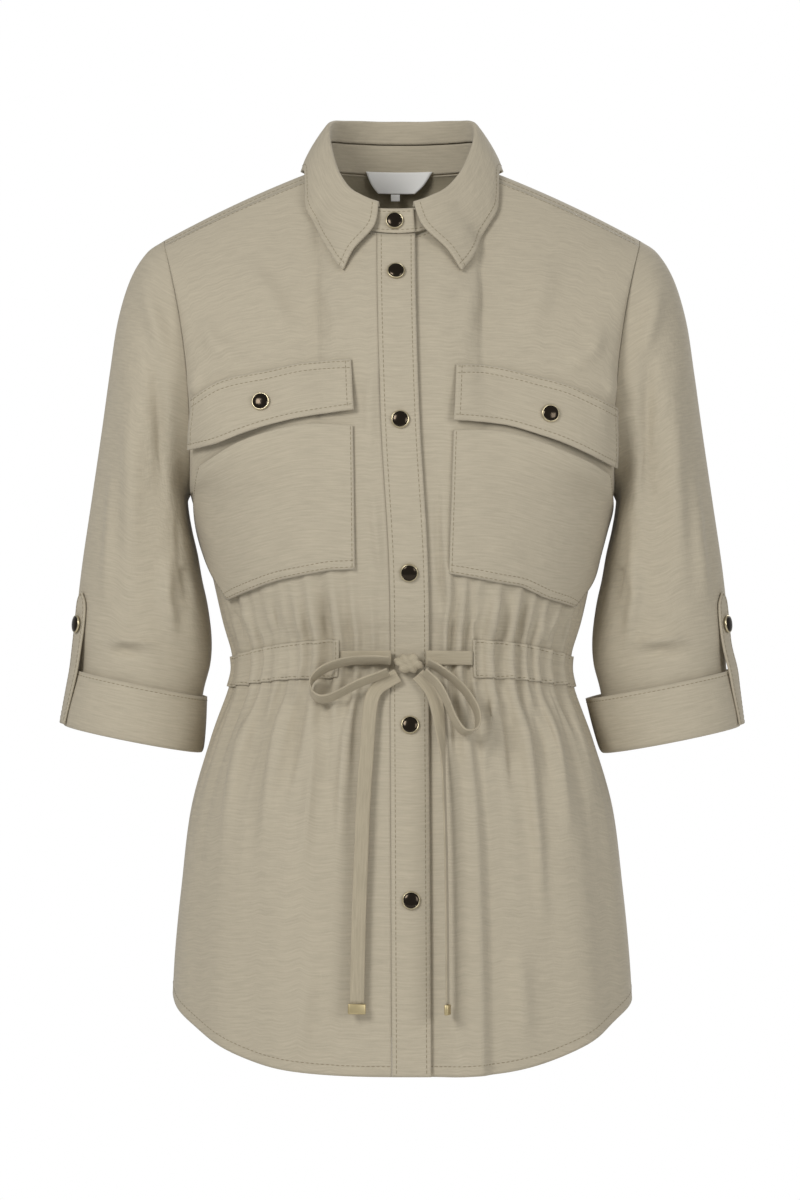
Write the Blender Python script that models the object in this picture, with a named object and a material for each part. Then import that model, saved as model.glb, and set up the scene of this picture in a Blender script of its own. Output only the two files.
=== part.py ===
"""A light khaki cargo jacket, filled out with no wearer: every cut piece is a thin wall of its own.

The body below the armholes is lofted through level sections. Above them the fronts and the back are
patches between the chest section, the armhole, the neckline and the shoulder seam. Folds and gathers
move a point along the body's outward direction, and a piece that lies on a panel is made from that
panel's points, moved further out.

Axes: X to the wearer's left, Y to the back, Z up. The origin lies between the shoulders, at neck
height. All the sizes below are in millimetres; MM turns them to metres when a mesh is made.
"""
import math

import bpy
import bmesh
import numpy as np

MM = 0.001

# Cloth and gaps
WALL = 1.5                  # panels, sleeves, pockets
BAND_WALL = 2.0             # folded cloth: placket, collar, cuffs, tabs
SEAM_GAP = 0.4              # between two sewn edges
LAY_GAP = 0.5               # between a panel and a piece whose points follow it
EASE = 0.65                 # between a panel and a piece with points of its own

# Body
ROUNDNESS = 2.3             # exponent of the body's sections: 2 is an ellipse
PLACKET_HALF = 15.0
ARMHOLE_TIP = (190.0, -2.0, -47.0)
ARMPIT = (169.0, 0.0, -250.0)
ARMHOLE_HALF_DEPTH = 58.0
ARMHOLE_BOW = 10.0          # how far the armhole curves in towards the chest
SEAM_ANGLE = 18.0           # the shoulder seam lies this far in front of the ridge, in degrees
NECK_COLUMN = 22.5          # section angle of the corner between neckline and shoulder

# Level sections from the chest down: height at front, side and back, half-width, front and back depth
LEVELS = (
    # name             z_front z_side z_back half_w  y_front y_back
    ("chest",           -250,  -250,  -250,  169.0, -122.0,  92.0),
    ("under_bust",      -300,  -304,  -302,  154.0, -118.0,  88.0),
    ("blouse",          -342,  -352,  -346,  141.5, -110.0,  84.0),
    ("casing_top",      -364,  -379,  -372,  133.5, -104.0,  80.0),
    ("casing_bottom",   -394,  -404,  -400,  136.0, -104.0,  80.0),
    ("high_hip",        -436,  -446,  -442,  152.0, -113.0,  92.0),
    ("hip",             -500,  -500,  -500,  168.0, -124.0, 105.0),
    ("thigh",           -580,  -566,  -578,  176.5, -132.0, 114.0),
    ("low_thigh",       -650,  -612,  -650,  181.0, -137.0, 120.0),
    ("hem",             -698,  -646,  -698,  183.0, -140.0, 124.0),
)
HEM_RISE = 3.6              # exponent of the rise of the lower rows towards the side seam

# Centre lines from the chest up to the neckline, by the share of the way up
CENTRE_FRONT = ((0.0, -122.0, -250.0), (0.2, -120.0, -210.0), (0.45, -112.0, -159.0),
                (0.7, -98.0, -109.0), (1.0, -68.0, -48.0))
CENTRE_BACK = ((0.0, 92.0, -250.0), (0.25, 97.0, -188.0), (0.5, 98.0, -124.0),
               (0.75, 88.0, -62.0), (1.0, 69.0, -1.0))

# Heights round the neck by the angle from centre front: neckline, top of the stand, roll line
NECK_HEIGHTS = (
    # angle  neckline  stand_top  roll
    (0.0,    -48.0,    -27.5,   -23.5),
    (12.0,   -47.0,    -27.0,   -22.5),
    (27.0,   -41.5,    -22.0,   -16.5),
    (39.0,   -34.0,    -15.0,   -10.0),
    (58.0,   -17.0,      2.0,     8.5),
    (75.0,     2.5,     21.0,    28.0),
    (90.0,    10.0,     30.0,    43.0),
    (105.0,   11.5,     33.5,    50.0),
    (130.0,   12.0,     35.5,    54.0),
    (180.0,   12.0,     36.5,    56.0),
)
NECK_HALF = 66.0
NECK_FRONT = 68.0
NECK_BACK = 62.0

# Drift of the closure from the middle, by height
CLOSURE_DRIFT = ((-700.0, 7.6), (-560.0, 6.9), (-430.0, 6.2), (-313.0, 5.4), (-193.0, -1.5),
                 (-81.0, -4.6), (60.0, -4.0))

# Gathers: half the depth of a gather by level, and the columns of points that carry them
GATHER_DEPTH = ((0.0, 0.0), (1.0, 0.25), (2.0, 1.2), (3.0, 1.9), (3.5, 1.6), (4.0, 1.9),
                (4.5, 1.7), (5.0, 1.1), (6.0, 0.4), (9.0, 0.0))
COLUMNS = 24                # from the closure, or from centre back, to the side seam
NECK_INDEX = 6              # the column that runs to the corner of the neckline

# Rows of points, by level: above the chest 0 to -1 is the patch, -1 to -2 the strip over the ridge
FRONT_PATCH_ROWS = 8
BACK_PATCH_ROWS = 9
LOWER_ROWS = (1.0, 1.6, 2.3, 3.0, 3.5, 4.0, 4.45, 5.0, 5.6, 6.3, 7.0, 8.0, 9.0)
GATHERED = (1.6, 6.3)       # rows between these levels have every column, the rest every second one

# Long folds of the skirt: side, column at the top and at the hem, height, width in columns, top level
SKIRT_FOLDS = (
    # side face     c_top c_hem height width level
    (-1, "front",   9.0,  8.0,  5.0,  2.0,  4.0),
    (-1, "front",  14.0, 13.0,  3.5,  2.6,  4.2),
    (-1, "front",  19.5, 18.5,  3.0,  2.4,  4.4),
    (1,  "front",  12.5, 14.0,  4.5,  2.2,  4.0),
    (1,  "front",  18.0, 19.5,  3.5,  2.4,  4.2),
    (-1, "back",    4.0,  5.0,  4.5,  2.4,  4.0),
    (-1, "back",   12.0, 13.0,  5.0,  2.2,  4.1),
    (-1, "back",   19.0, 19.0,  3.0,  2.4,  4.3),
    (1,  "back",    7.0,  6.5,  4.5,  2.2,  4.0),
    (1,  "back",   14.5, 15.0,  4.0,  2.6,  4.2),
    (1,  "back",   20.0, 20.0,  3.0,  2.0,  4.4),
)
STEP_COLUMN = 5.0           # the pressed fold in the left skirt: cloth in front of it stands proud
STEP_HEIGHT = 8.0


def smooth(table, at, column=1):
    """A smooth curve through one column of a table, by the value in its first column."""
    xs = np.array([row[0] for row in table], float)
    ys = np.array([row[column] for row in table], float)
    if xs[0] > xs[-1]:
        xs, ys = xs[::-1], ys[::-1]
    slopes = np.gradient(ys, xs)
    at = np.clip(np.asarray(at, float), xs[0], xs[-1])
    i = np.clip(np.searchsorted(xs, at, side="right") - 1, 0, len(xs) - 2)
    h = xs[i + 1] - xs[i]
    w = (at - xs[i]) / h
    return ((1 + 2 * w) * (1 - w) ** 2 * ys[i] + w * (1 - w) ** 2 * h * slopes[i]
            + w * w * (3 - 2 * w) * ys[i + 1] - w * w * (1 - w) * h * slopes[i + 1])


def ease(w):
    """0 to 1 with flat ends."""
    w = np.clip(w, 0.0, 1.0)
    return w * w * (3 - 2 * w)


def points(x, y, z):
    return np.stack(np.broadcast_arrays(x, y, z), axis=-1).astype(float)


LEVEL_CURVES = {name: tuple((i, row[k + 1]) for i, row in enumerate(LEVELS))
                for k, name in enumerate(("z_front", "z_side", "z_back", "half_w", "y_front", "y_back"))}


def section(face, angle, level):
    """A point of the body's level section; the angle runs from centre front or back to the side."""
    sine = np.sin(np.radians(angle))
    half_w = smooth(LEVEL_CURVES["half_w"], level)
    depth = smooth(LEVEL_CURVES["y_" + face], level)
    middle = smooth(LEVEL_CURVES["z_" + face], level)
    side = smooth(LEVEL_CURVES["z_side"], level)
    rise = np.abs(sine) ** HEM_RISE
    across = np.clip(1 - np.abs(sine) ** ROUNDNESS, 0, 1) ** (1 / ROUNDNESS)
    return points(half_w * sine, depth * across, middle + (side - middle) * rise)


def armhole(phi):
    """The armhole loop: 0 degrees at the tip, 90 in front, 180 at the armpit."""
    phi = np.radians(phi)
    mid = [(a + b) / 2 for a, b in zip(ARMHOLE_TIP, ARMPIT)]
    half = [(a - b) / 2 for a, b in zip(ARMHOLE_TIP, ARMPIT)]
    bow = ARMHOLE_BOW * np.sin(phi) ** 2
    return points(mid[0] + half[0] * np.cos(phi) - bow,
                  mid[1] - ARMHOLE_HALF_DEPTH * np.sin(phi) + half[1] * np.cos(phi),
                  mid[2] + half[2] * np.cos(phi))


def neck(turn, curve, half, front, back):
    """A ring round the neck at one of the heights of NECK_HEIGHTS, turned from centre front."""
    angle = np.radians(turn)
    depth = np.where(np.cos(angle) > 0, front, back)
    return points(half * np.sin(angle), -depth * np.cos(angle), smooth(NECK_HEIGHTS, turn, curve))


SEAM_TURN = 78.0            # the shoulder seam meets the neckline here
RIDGE_OUT = 6.0             # the row below the back neckline lies this far outside it
RIDGE_BOW = 2.5


def top_front(angle):
    """The top edge of a front: the neckline, then the shoulder seam."""
    corner = neck(SEAM_TURN, 1, NECK_HALF, NECK_FRONT, NECK_BACK)
    tip = armhole(SEAM_ANGLE)
    share = np.clip(np.sin(np.radians(angle)) / math.sin(math.radians(NECK_COLUMN)), 0, 1)
    turn = np.degrees(np.arcsin(share * math.sin(math.radians(SEAM_TURN))))
    along = shoulder_share(angle)[..., None]
    bow = points(0, 0, RIDGE_BOW * 4 * along[..., 0] * (1 - along[..., 0]))
    return np.where(along > 0, corner + (tip - corner) * along + bow,
                    neck(turn, 1, NECK_HALF, NECK_FRONT, NECK_BACK))


def shoulder_share(angle):
    """How far out along the shoulder a column lies: 0 at the neck, 1 at the tip."""
    low = math.sin(math.radians(NECK_COLUMN))
    return np.clip((np.sin(np.radians(angle)) - low) / (1 - low), 0, 1)


def ridge(angle):
    """The row over the shoulder's ridge, and below the neckline behind it."""
    corner = neck(90.0, 1, NECK_HALF + RIDGE_OUT, NECK_FRONT, NECK_BACK + 7.0) + points(0, 0, -1.5)
    share = np.clip(np.asarray(angle, float) / NECK_COLUMN, 0, 1)
    behind = neck(180.0 - 90.0 * share, 1, NECK_HALF + RIDGE_OUT, NECK_FRONT, NECK_BACK + 7.0)
    behind = behind + points(0, 0, -13.0 + 11.5 * share)
    along = shoulder_share(angle)[..., None]
    bow = points(0, 0, RIDGE_BOW * 4 * along[..., 0] * (1 - along[..., 0]))
    return np.where(along > 0, corner + (armhole(0.0) - corner) * along + bow, behind)


def top_back(angle):
    """The top edge of the back: the back neckline, then the same shoulder seam."""
    share = np.clip(np.asarray(angle, float) / NECK_COLUMN, 0, 1)
    behind = neck(180.0 - (180.0 - SEAM_TURN) * share, 1, NECK_HALF, NECK_FRONT, NECK_BACK)
    return np.where(shoulder_share(angle)[..., None] > 0, top_front(angle), behind)


def patch(face, angle, up):
    """The body above the chest: a patch between chest section, centre line, top edge and armhole."""
    angle, up = np.broadcast_arrays(np.asarray(angle, float), np.asarray(up, float))
    centre = CENTRE_FRONT if face == "front" else CENTRE_BACK
    top = top_front if face == "front" else ridge
    last = 180.0 - SEAM_ANGLE if face == "front" else 180.0
    phi = 180.0 - last * up if face == "front" else -180.0 + last * up
    a = ease(angle / 90.0)[..., None]
    b = ease(up)[..., None]
    low, high = section(face, angle, 0.0), top(angle)
    left = points(0.0, smooth(centre, up, 1), smooth(centre, up, 2))
    right = armhole(phi)
    low0, low1 = section(face, 0.0, 0.0), armhole(180.0)
    high0, high1 = top(0.0), top(90.0)
    corners = ((1 - a) * ((1 - b) * low0 + b * high0) + a * ((1 - b) * low1 + b * high1))
    return (1 - b) * low + b * high + (1 - a) * left + a * right - corners


def form(face, angle, level):
    """A point of the smooth body, on the wearer's left half; negative angles cross the middle."""
    angle, level = np.broadcast_arrays(np.asarray(angle, float), np.asarray(level, float))
    turned = np.abs(angle)
    lower = section(face, turned, np.maximum(level, 0.0))
    upper = patch(face, turned, np.clip(-level, 0.0, 1.0))
    result = np.where(level[..., None] >= 0, lower, upper)
    if face == "back":
        w = np.clip(-level - 1.0, 0.0, 1.0)[..., None]
        strip = (1 - w) * ridge(turned) + w * top_back(turned)
        strip = strip + points(0, 0, 1.5 * 4 * w[..., 0] * (1 - w[..., 0]))
        result = np.where(level[..., None] < -1, strip, result)
    result[..., 0] *= np.where(angle < 0, -1.0, 1.0)
    return result


def slope(face, angle, level):
    """The direction square to the smooth body, from two small steps along it."""
    angle, level = np.broadcast_arrays(np.asarray(angle, float), np.asarray(level, float))
    da = np.where(angle > 45.0, -0.4, 0.4)
    dl = np.where(level > 8.9, -0.04, 0.04)
    here = form(face, angle, level)
    across = (form(face, angle + da, level) - here) / da[..., None]
    down = (form(face, angle, level + dl) - here) / dl[..., None]
    n = np.cross(down, across) if face == "front" else np.cross(across, down)
    return n / np.linalg.norm(n, axis=-1, keepdims=True)


def outward(face, angle, level):
    """The body's outward direction; both sides of the shoulder seam share the mean of theirs."""
    n = slope(face, angle, level)
    seam = -0.999 if face == "front" else -1.999
    mean = slope("front", angle, np.full(np.shape(n)[:-1], -1.0))
    mean = mean + slope("back", angle, np.full(np.shape(n)[:-1], -2.0))
    mean = mean / np.linalg.norm(mean, axis=-1, keepdims=True)
    at_seam = (np.asarray(level) <= seam) & (np.asarray(angle) > NECK_COLUMN - 0.01)
    return np.where(np.broadcast_to(at_seam, np.shape(n)[:-1])[..., None], mean, n)


def column_angle(face, column, level, edge=PLACKET_HALF):
    """The section angle of a column of points; a front's first column runs beside the closure."""
    half_w = smooth(LEVEL_CURVES["half_w"], np.maximum(level, 0.0))
    start = np.degrees(np.arcsin(edge / half_w)) if face == "front" else 0.0
    inner = start + (NECK_COLUMN - start) * np.asarray(column, float) / NECK_INDEX
    outer = NECK_COLUMN + (90.0 - NECK_COLUMN) * (column - NECK_INDEX) / (COLUMNS - NECK_INDEX)
    return np.where(np.asarray(column) <= NECK_INDEX, inner, outer)


def fold(face, side, column, level):
    """How far folds and gathers push the cloth out, with their depths and spacing uneven."""
    column, level = np.broadcast_arrays(np.asarray(column, float), np.asarray(level, float))
    inset = ease((COLUMNS - column) / 3.0)
    seed = 1.7 * side + (3.1 if face == "back" else 0.0)
    uneven = 1 + inset * (0.35 * np.sin(2.4 * column + seed) + 0.25 * np.sin(5.1 * column + 2 * seed))
    start = ease(column / 2.5) if face == "front" else 1.0
    push = smooth(GATHER_DEPTH, level) * uneven * start * np.cos(math.pi * column)
    for fold_side, fold_face, c_top, c_hem, height, width, top_level in SKIRT_FOLDS:
        if fold_side != side or fold_face != face:
            continue
        down = np.clip((level - top_level) / (9.0 - top_level), 0, 1)
        centre = c_top + (c_hem - c_top) * down
        push = push + height * ease(down * 2.2) * np.exp(-((column - centre) / width) ** 2) * inset
    if face == "front" and side > 0:
        down = ease((level - 3.6) / 3.0)
        push = push + STEP_HEIGHT * down * start * (1 - ease((column - STEP_COLUMN + 0.6) / 1.2))
    return push


def skin(face, side, column, level, lift=0.0, edge=PLACKET_HALF, over=False):
    """A point of a body panel, folds included, lifted along the outward direction.

    A piece that bridges the gathers is asked for with over, and clears their crests instead.
    """
    angle = column_angle(face, column, level, edge)
    n = outward(face, angle, level)
    crests = 1.6 * smooth(GATHER_DEPTH, level)
    push = (crests if over else fold(face, side, column, level)) + lift
    p = form(face, angle, level) + n * push[..., None]
    p[..., 1] += -SEAM_GAP / 2 if face == "front" else SEAM_GAP / 2
    return finish(p, side)


def finish(p, side):
    """Mirror to the wearer's right where asked, and let the closure drift from the middle."""
    p = p.copy()
    p[..., 0] *= side
    fade = ease(1 - np.abs(p[..., 0]) / 120.0) * ease(-p[..., 1] / 60.0)
    p[..., 0] += smooth(CLOSURE_DRIFT, p[..., 2]) * fade
    return p


def strip_at(x, level, lift=0.0):
    """A point of the front beside the middle line, by its distance from that line."""
    x, level = np.broadcast_arrays(np.asarray(x, float), np.asarray(level, float))
    half_w = smooth(LEVEL_CURVES["half_w"], np.maximum(level, 0.0))
    angle = np.degrees(np.arcsin(np.abs(x) / half_w))
    n = outward("front", angle, level)
    p = form("front", angle, level) + n * np.asarray(lift, float)[..., None]
    p[..., 0] *= np.where(x < 0, -1.0, 1.0)
    return finish(p, 1)


def front_place(side, x, z):
    """The column and level of the front's point that shows at x and z, by a few Newton steps."""
    column = np.full(np.shape(x), 12.0)
    level = np.full(np.shape(x), -0.2)
    for _ in range(9):
        here = skin("front", side, column, level)
        dc = (skin("front", side, column + 0.02, level) - here) / 0.02
        dl = (skin("front", side, column, level + 0.01) - here) / 0.01
        ex, ez = x - here[..., 0], z - here[..., 2]
        det = dc[..., 0] * dl[..., 2] - dl[..., 0] * dc[..., 2]
        column = column + np.clip((ex * dl[..., 2] - ez * dl[..., 0]) / det, -2, 2)
        level = level + np.clip((ez * dc[..., 0] - ex * dc[..., 2]) / det, -0.3, 0.3)
        column = np.clip(column, 0.0, COLUMNS)
        level = np.clip(level, -1.0, 9.0)
    return column, level


# Meshes

def material(name, colour, roughness, metallic=0.0):
    found = bpy.data.materials.get(name)
    if found:
        return found
    made = bpy.data.materials.new(name)
    made.use_nodes = True
    shader = made.node_tree.nodes["Principled BSDF"]
    shader.inputs["Base Color"].default_value = (*colour, 1.0)
    shader.inputs["Roughness"].default_value = roughness
    shader.inputs["Metallic"].default_value = metallic
    return made


TWILL = ("khaki twill", (0.45, 0.40, 0.30), 0.85, 0.0)
SNAP_METAL = ("dark snap metal", (0.10, 0.08, 0.06), 0.25, 1.0)
TIP_METAL = ("pale gold metal", (0.70, 0.62, 0.42), 0.40, 1.0)
LABEL_CLOTH = ("label satin", (0.80, 0.80, 0.77), 0.60, 0.0)


def build(name, verts, faces, look=TWILL):
    """A mesh object in world place, its faces turned outwards and its rounds smooth."""
    mesh = bpy.data.meshes.new(name)
    mesh.from_pydata([tuple(float(c) * MM for c in v) for v in verts], [], faces)
    bm = bmesh.new()
    bm.from_mesh(mesh)
    bmesh.ops.recalc_face_normals(bm, faces=bm.faces)
    if bm.calc_volume(signed=True) < 0:
        bmesh.ops.reverse_faces(bm, faces=bm.faces)
    bm.to_mesh(mesh)
    bm.free()
    mesh.shade_smooth()
    mesh.set_sharp_from_angle(angle=math.radians(45))
    mesh.materials.append(material(*look))
    made = bpy.data.objects.new(name, mesh)
    bpy.context.scene.collection.objects.link(made)
    return made


def strip_faces(upper, lower):
    """Triangles between two rows of vertex numbers; one row may have twice the steps of the other."""
    faces = []
    if len(upper) == len(lower):
        for i in range(len(upper) - 1):
            faces += [(upper[i], lower[i], lower[i + 1]), (upper[i], lower[i + 1], upper[i + 1])]
        return faces
    few, many = (upper, lower) if len(upper) < len(lower) else (lower, upper)
    flip = few is lower
    for i in range(len(few) - 1):
        a, b = few[i], few[i + 1]
        c, d, e = many[2 * i], many[2 * i + 1], many[2 * i + 2]
        for tri in ((a, c, d), (a, d, b), (b, d, e)):
            faces.append(tri[::-1] if flip else tri)
    return faces


def wall(name, outer, inner, closed=False, look=TWILL):
    """A thin closed wall between an outer and an inner sheet of rows of points."""
    verts, rows = [], {"outer": [], "inner": []}
    for key, sheet in (("outer", outer), ("inner", inner)):
        for row in sheet:
            start = len(verts)
            verts += list(row)
            numbers = list(range(start, len(verts)))
            rows[key].append(numbers + [start] if closed else numbers)
    faces = []
    for key in ("outer", "inner"):
        for upper, lower in zip(rows[key], rows[key][1:]):
            made = strip_faces(upper, lower)
            faces += made if key == "outer" else [f[::-1] for f in made]
    for end in (0, -1):
        made = strip_faces(rows["inner"][end], rows["outer"][end])
        faces += made if end == 0 else [f[::-1] for f in made]
    if not closed:
        for end in (0, -1):
            made = strip_faces([r[end] for r in rows["outer"]], [r[end] for r in rows["inner"]])
            faces += made if end == 0 else [f[::-1] for f in made]
    return build(name, verts, faces, look)


def fine(level):
    """Whether a row has every column: where the panel is gathered, and along its top edge."""
    return GATHERED[0] <= level <= GATHERED[1] or level in (-1.0, -2.0)


def sheet_rows(levels, columns, place):
    """Rows of points for a panel: every column in the fine rows, every second one elsewhere."""
    rows = []
    for level in levels:
        used = columns if fine(level) else columns[::2]
        rows.append(place(used, np.full(len(used), float(level))))
    return rows


# Body panels

def front_levels():
    return [-1 + k / FRONT_PATCH_ROWS for k in range(FRONT_PATCH_ROWS + 1)] + list(LOWER_ROWS)


def front_right():
    columns = np.arange(COLUMNS + 1, dtype=float)
    sheets = [sheet_rows(front_levels(), columns,
                         lambda c, r, lift=lift: skin("front", -1, c, r, lift, PLACKET_HALF + SEAM_GAP))
              for lift in (0.0, -WALL)]
    return wall("front_right", *sheets)


UNDERLAP = -11.0            # the left front runs on under the closure to here
TUCK = 3.0                  # and lies this much further in there


def front_left():
    """The left front, with two more columns that pass under the placket."""
    columns = np.arange(COLUMNS + 1, dtype=float)
    sheets = []
    for lift in (0.0, -WALL):
        rows = []
        for level in front_levels():
            used = columns if fine(level) else columns[::2]
            main = skin("front", 1, used, np.full(len(used), level),
                        lift - TUCK * (1 - ease(used / 3.0)), PLACKET_HALF + SEAM_GAP)
            under_x = np.linspace(UNDERLAP, PLACKET_HALF, 3 if fine(level) else 2)[:-1]
            under = strip_at(under_x, np.full(len(under_x), level), lift - TUCK)
            rows.append(np.concatenate([under, main]))
        sheets.append(rows)
    return wall("front_left", *sheets)


def placket():
    """The strip on the right front's free edge, over the left front."""
    across = np.array([-PLACKET_HALF, -7.5, 7.5, PLACKET_HALF])
    sheets = []
    for lift in (0.5, 0.5 - BAND_WALL):
        rows = []
        for level in front_levels():
            rows.append(strip_at(across, np.full(4, float(level)), np.full(4, lift)))
        sheets.append(rows)
    return wall("placket", *sheets)


def back():
    levels = ([-2.0] + [-0.9999] + [-1 + k / BACK_PATCH_ROWS for k in range(1, BACK_PATCH_ROWS + 1)]
              + list(LOWER_ROWS))
    columns = np.arange(-COLUMNS, COLUMNS + 1, dtype=float)

    def place(used, rows, lift):
        halves = [skin("back", side, np.abs(used), rows, np.full(len(used), lift))
                  for side in (-1, 1)]
        return np.where(used[:, None] < 0, halves[0], halves[1])

    sheets = [sheet_rows(levels, columns, lambda c, r, lift=lift: place(c, r, lift))
              for lift in (0.0, -WALL)]
    return wall("back", *sheets)


# Sheets with points of their own

def sheet_normals(grid, closed=False):
    """Directions square to a grid of points, from its neighbours' differences."""
    down = np.gradient(grid, axis=0)
    if closed:
        across = (np.roll(grid, -1, axis=1) - np.roll(grid, 1, axis=1)) / 2
    else:
        across = np.gradient(grid, axis=1)
    n = np.cross(down, across)
    return n / np.linalg.norm(n, axis=-1, keepdims=True)


def on_front(side, x, z, lift):
    """Points over a front that show at x and z, lifted clear of its gathers."""
    column, level = front_place(side, x, z)
    return skin("front", side, column, level, lift, over=True)


# Collar

STAND_HALF = 59.5
STAND_FRONT = 62.5
STAND_BACK = 61.0
STAND_UNDER = -9.0          # the left end of the stand starts here, in degrees past centre front
STAND_OVER = 12.5           # and the right end lies over it up to here
UNDER_TUCK = 3.4            # how far in the end below lies
OVER_RISE = 2.6             # and how far out the end on top
COLLAR_RAISE = 0.9          # the collar's pieces start this far above what they are sewn to

# The leaf's cross-section: rows by distance outside the stand's ring and height above a ring
LEAF_ROWS = (
    # out  curve height
    (-2.3, 2,     0.9),
    (-2.5, 3,    -3.0),
    (-1.0, 3,     0.0),
    (2.2,  3,    -1.3),
)
LEAF_FALL = (0.33, 0.68, 1.0)
LEAF_BULGE = 2.5
LEAF_LIFT = 3.4
TIP_BOW = 7.0               # how far the front edge curves in towards the middle

# The leaf's edge at each point of the neckline from the front: x and z on the front, or x, y and z
LEAF_EDGE = (
    (45.5, -78.0), (51.5, -70.5), (57.0, -60.5), (62.5, -50.0), (69.5, -38.0), (76.0, -24.0),
    "shoulder",
    (81.5, 14.0, 10.0), (75.5, 36.0, 10.0), (60.5, 55.0, 9.8), (42.0, 67.0, 9.5),
    (21.0, 75.5, 9.2), (0.0, 78.5, 9.0),
)
LEAF_SHOULDER = (6.85, -1.75, 4.2)   # column and level on the back panel, and lift


def neck_turns():
    """The turns round the neck of the panels' neckline points, from the closure to centre back."""
    columns = np.arange(NECK_INDEX + 1.0)
    angle = column_angle("front", columns, -1.0, PLACKET_HALF + SEAM_GAP)
    share = np.clip(np.sin(np.radians(angle)) / math.sin(math.radians(NECK_COLUMN)), 0, 1)
    front = np.degrees(np.arcsin(share * math.sin(math.radians(SEAM_TURN))))
    behind = 180.0 - (180.0 - SEAM_TURN) * columns / NECK_INDEX
    return np.concatenate([front, behind[-2::-1]])


def ring_at(turn, curve, half, front, back):
    """A point of a ring round the neck; the turn runs by the wearer's left to the back and on."""
    folded = np.abs(np.asarray(turn, float))
    folded = np.where(folded > 180.0, np.abs(360.0 - folded), folded)
    p = neck(folded, curve, half, front, back)
    p[..., 0] *= np.where((turn < 0) | ((turn > 180.0) & (turn < 360.0)), -1.0, 1.0)
    return finish(p, 1)


def inward_at(turns):
    """The level direction towards the neck's axis."""
    turns = np.radians(turns)
    return points(-np.sin(turns), np.cos(turns), 0.0)


def stand_tuck(turns):
    """How far in the stand lies: its left end passes under, its right end over."""
    first = neck_turns()[0]
    under = UNDER_TUCK * (1 - ease((turns - STAND_UNDER) / (first - STAND_UNDER)))
    over = OVER_RISE * ease((turns - 360.0 + first) / (first + STAND_OVER))
    return under - over


def collar_stand():
    half = neck_turns()
    turns = np.concatenate([[STAND_UNDER, 2.0], half, 360.0 - half[-2::-1], [362.0, 360.0 + STAND_OVER]])
    low = ring_at(turns, 1, NECK_HALF, NECK_FRONT, NECK_BACK)
    high = ring_at(turns, 2, STAND_HALF, STAND_FRONT, STAND_BACK)
    rise = high - low
    low = low + rise * (COLLAR_RAISE / np.linalg.norm(rise, axis=-1, keepdims=True))
    inward = inward_at(turns)
    grid = np.stack([high, (low + high) / 2, low]) + inward * stand_tuck(turns)[:, None]
    return wall("collar_stand", grid, grid + inward * BAND_WALL)


def leaf_edges(side):
    """The points of the leaf's outer edge on one side, from the front to centre back."""
    seated = np.array([row for row in LEAF_EDGE if len(row) == 2])
    edges = list(on_front(side, side * seated[:, 0], seated[:, 1], LEAF_LIFT))
    column, level, lift = LEAF_SHOULDER
    edges.append(skin("back", side, column, level, lift))
    edges += [np.array((side * x, y, z)) for x, y, z in LEAF_EDGE[len(seated) + 1:]]
    return np.array(edges)


def collar_leaf():
    half = neck_turns()
    turns = np.concatenate([half, 360.0 - half[-2::-1]])
    edge = np.concatenate([leaf_edges(1), leaf_edges(-1)[-2::-1]])
    inward = inward_at(turns)
    near = np.minimum(turns, 360.0 - turns)
    rows = []
    for out, curve, height in LEAF_ROWS:
        ring = ring_at(turns, curve, STAND_HALF + out, STAND_FRONT + out, STAND_BACK + out)
        rows.append(ring + points(0, 0, height))
    top = rows[-1]
    left_front = np.where(turns < 180.0, 1.0, 0.0) * (1 - ease((near - half[0]) / 30.0))
    bow = TIP_BOW * (1 - ease((near - half[0]) / 30.0)) * np.where(turns < 180.0, -1.0, 1.0)
    for w in LEAF_FALL:
        swell = LEAF_BULGE * 4 * w * (1 - w) + OVER_RISE * left_front * (1 - w)
        rows.append(top * (1 - w) + edge * w - inward * swell[:, None]
                    + points(bow * 4 * w * (1 - w) * (w < 0.5), 0, 0))
    grid = np.stack(rows)
    n = sheet_normals(grid)
    n = n * np.sign(n[len(LEAF_ROWS), :, 2].mean())
    return wall("collar_leaf", grid, grid - n * BAND_WALL)


# Sleeves, cuffs and tabs

SLEEVE_RINGS = (
    # outer_x outer_z inner_x inner_z half_depth bow  y
    (190.0,  -47.0,  169.0, -250.0, 58.0, 10.0, -1.0),
    (204.0,  -57.0,  171.6, -257.0, 59.0,  5.0, -1.0),
    (217.0,  -78.0,  170.5, -266.0, 60.0,  1.0,  0.0),
    (227.0, -111.0,  167.5, -281.0, 60.0, -2.0,  1.0),
    (233.5, -152.0,  163.5, -298.0, 58.0, -2.0,  2.0),
    (240.0, -198.0,  160.0, -318.0, 56.5, -1.0,  3.0),
    (248.0, -252.0,  155.5, -339.0, 55.0,  0.0,  4.0),
    (256.5, -310.0,  152.5, -364.0, 53.5,  0.0,  4.0),
    (260.5, -352.0,  153.5, -385.0, 52.0,  0.0,  4.0),
    (259.5, -388.0,  159.5, -410.0, 50.5,  0.0,  4.0),
    (266.5, -424.0,  162.5, -446.0, 51.0,  0.0,  4.0),
)
CUFF_RINGS = {
    # side: top and bottom ring: outer_x outer_z inner_x inner_z half_depth bow y
    -1: ((263.5, -389.0, 156.0, -411.5, 55.0, 0.0, 4.0), (272.0, -433.5, 159.0, -456.0, 56.0, 0.0, 4.0)),
    1: ((266.0, -389.0, 147.0, -413.0, 55.0, 0.0, 4.0), (272.0, -434.0, 159.0, -456.5, 56.0, 0.0, 4.0)),
}
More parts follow.
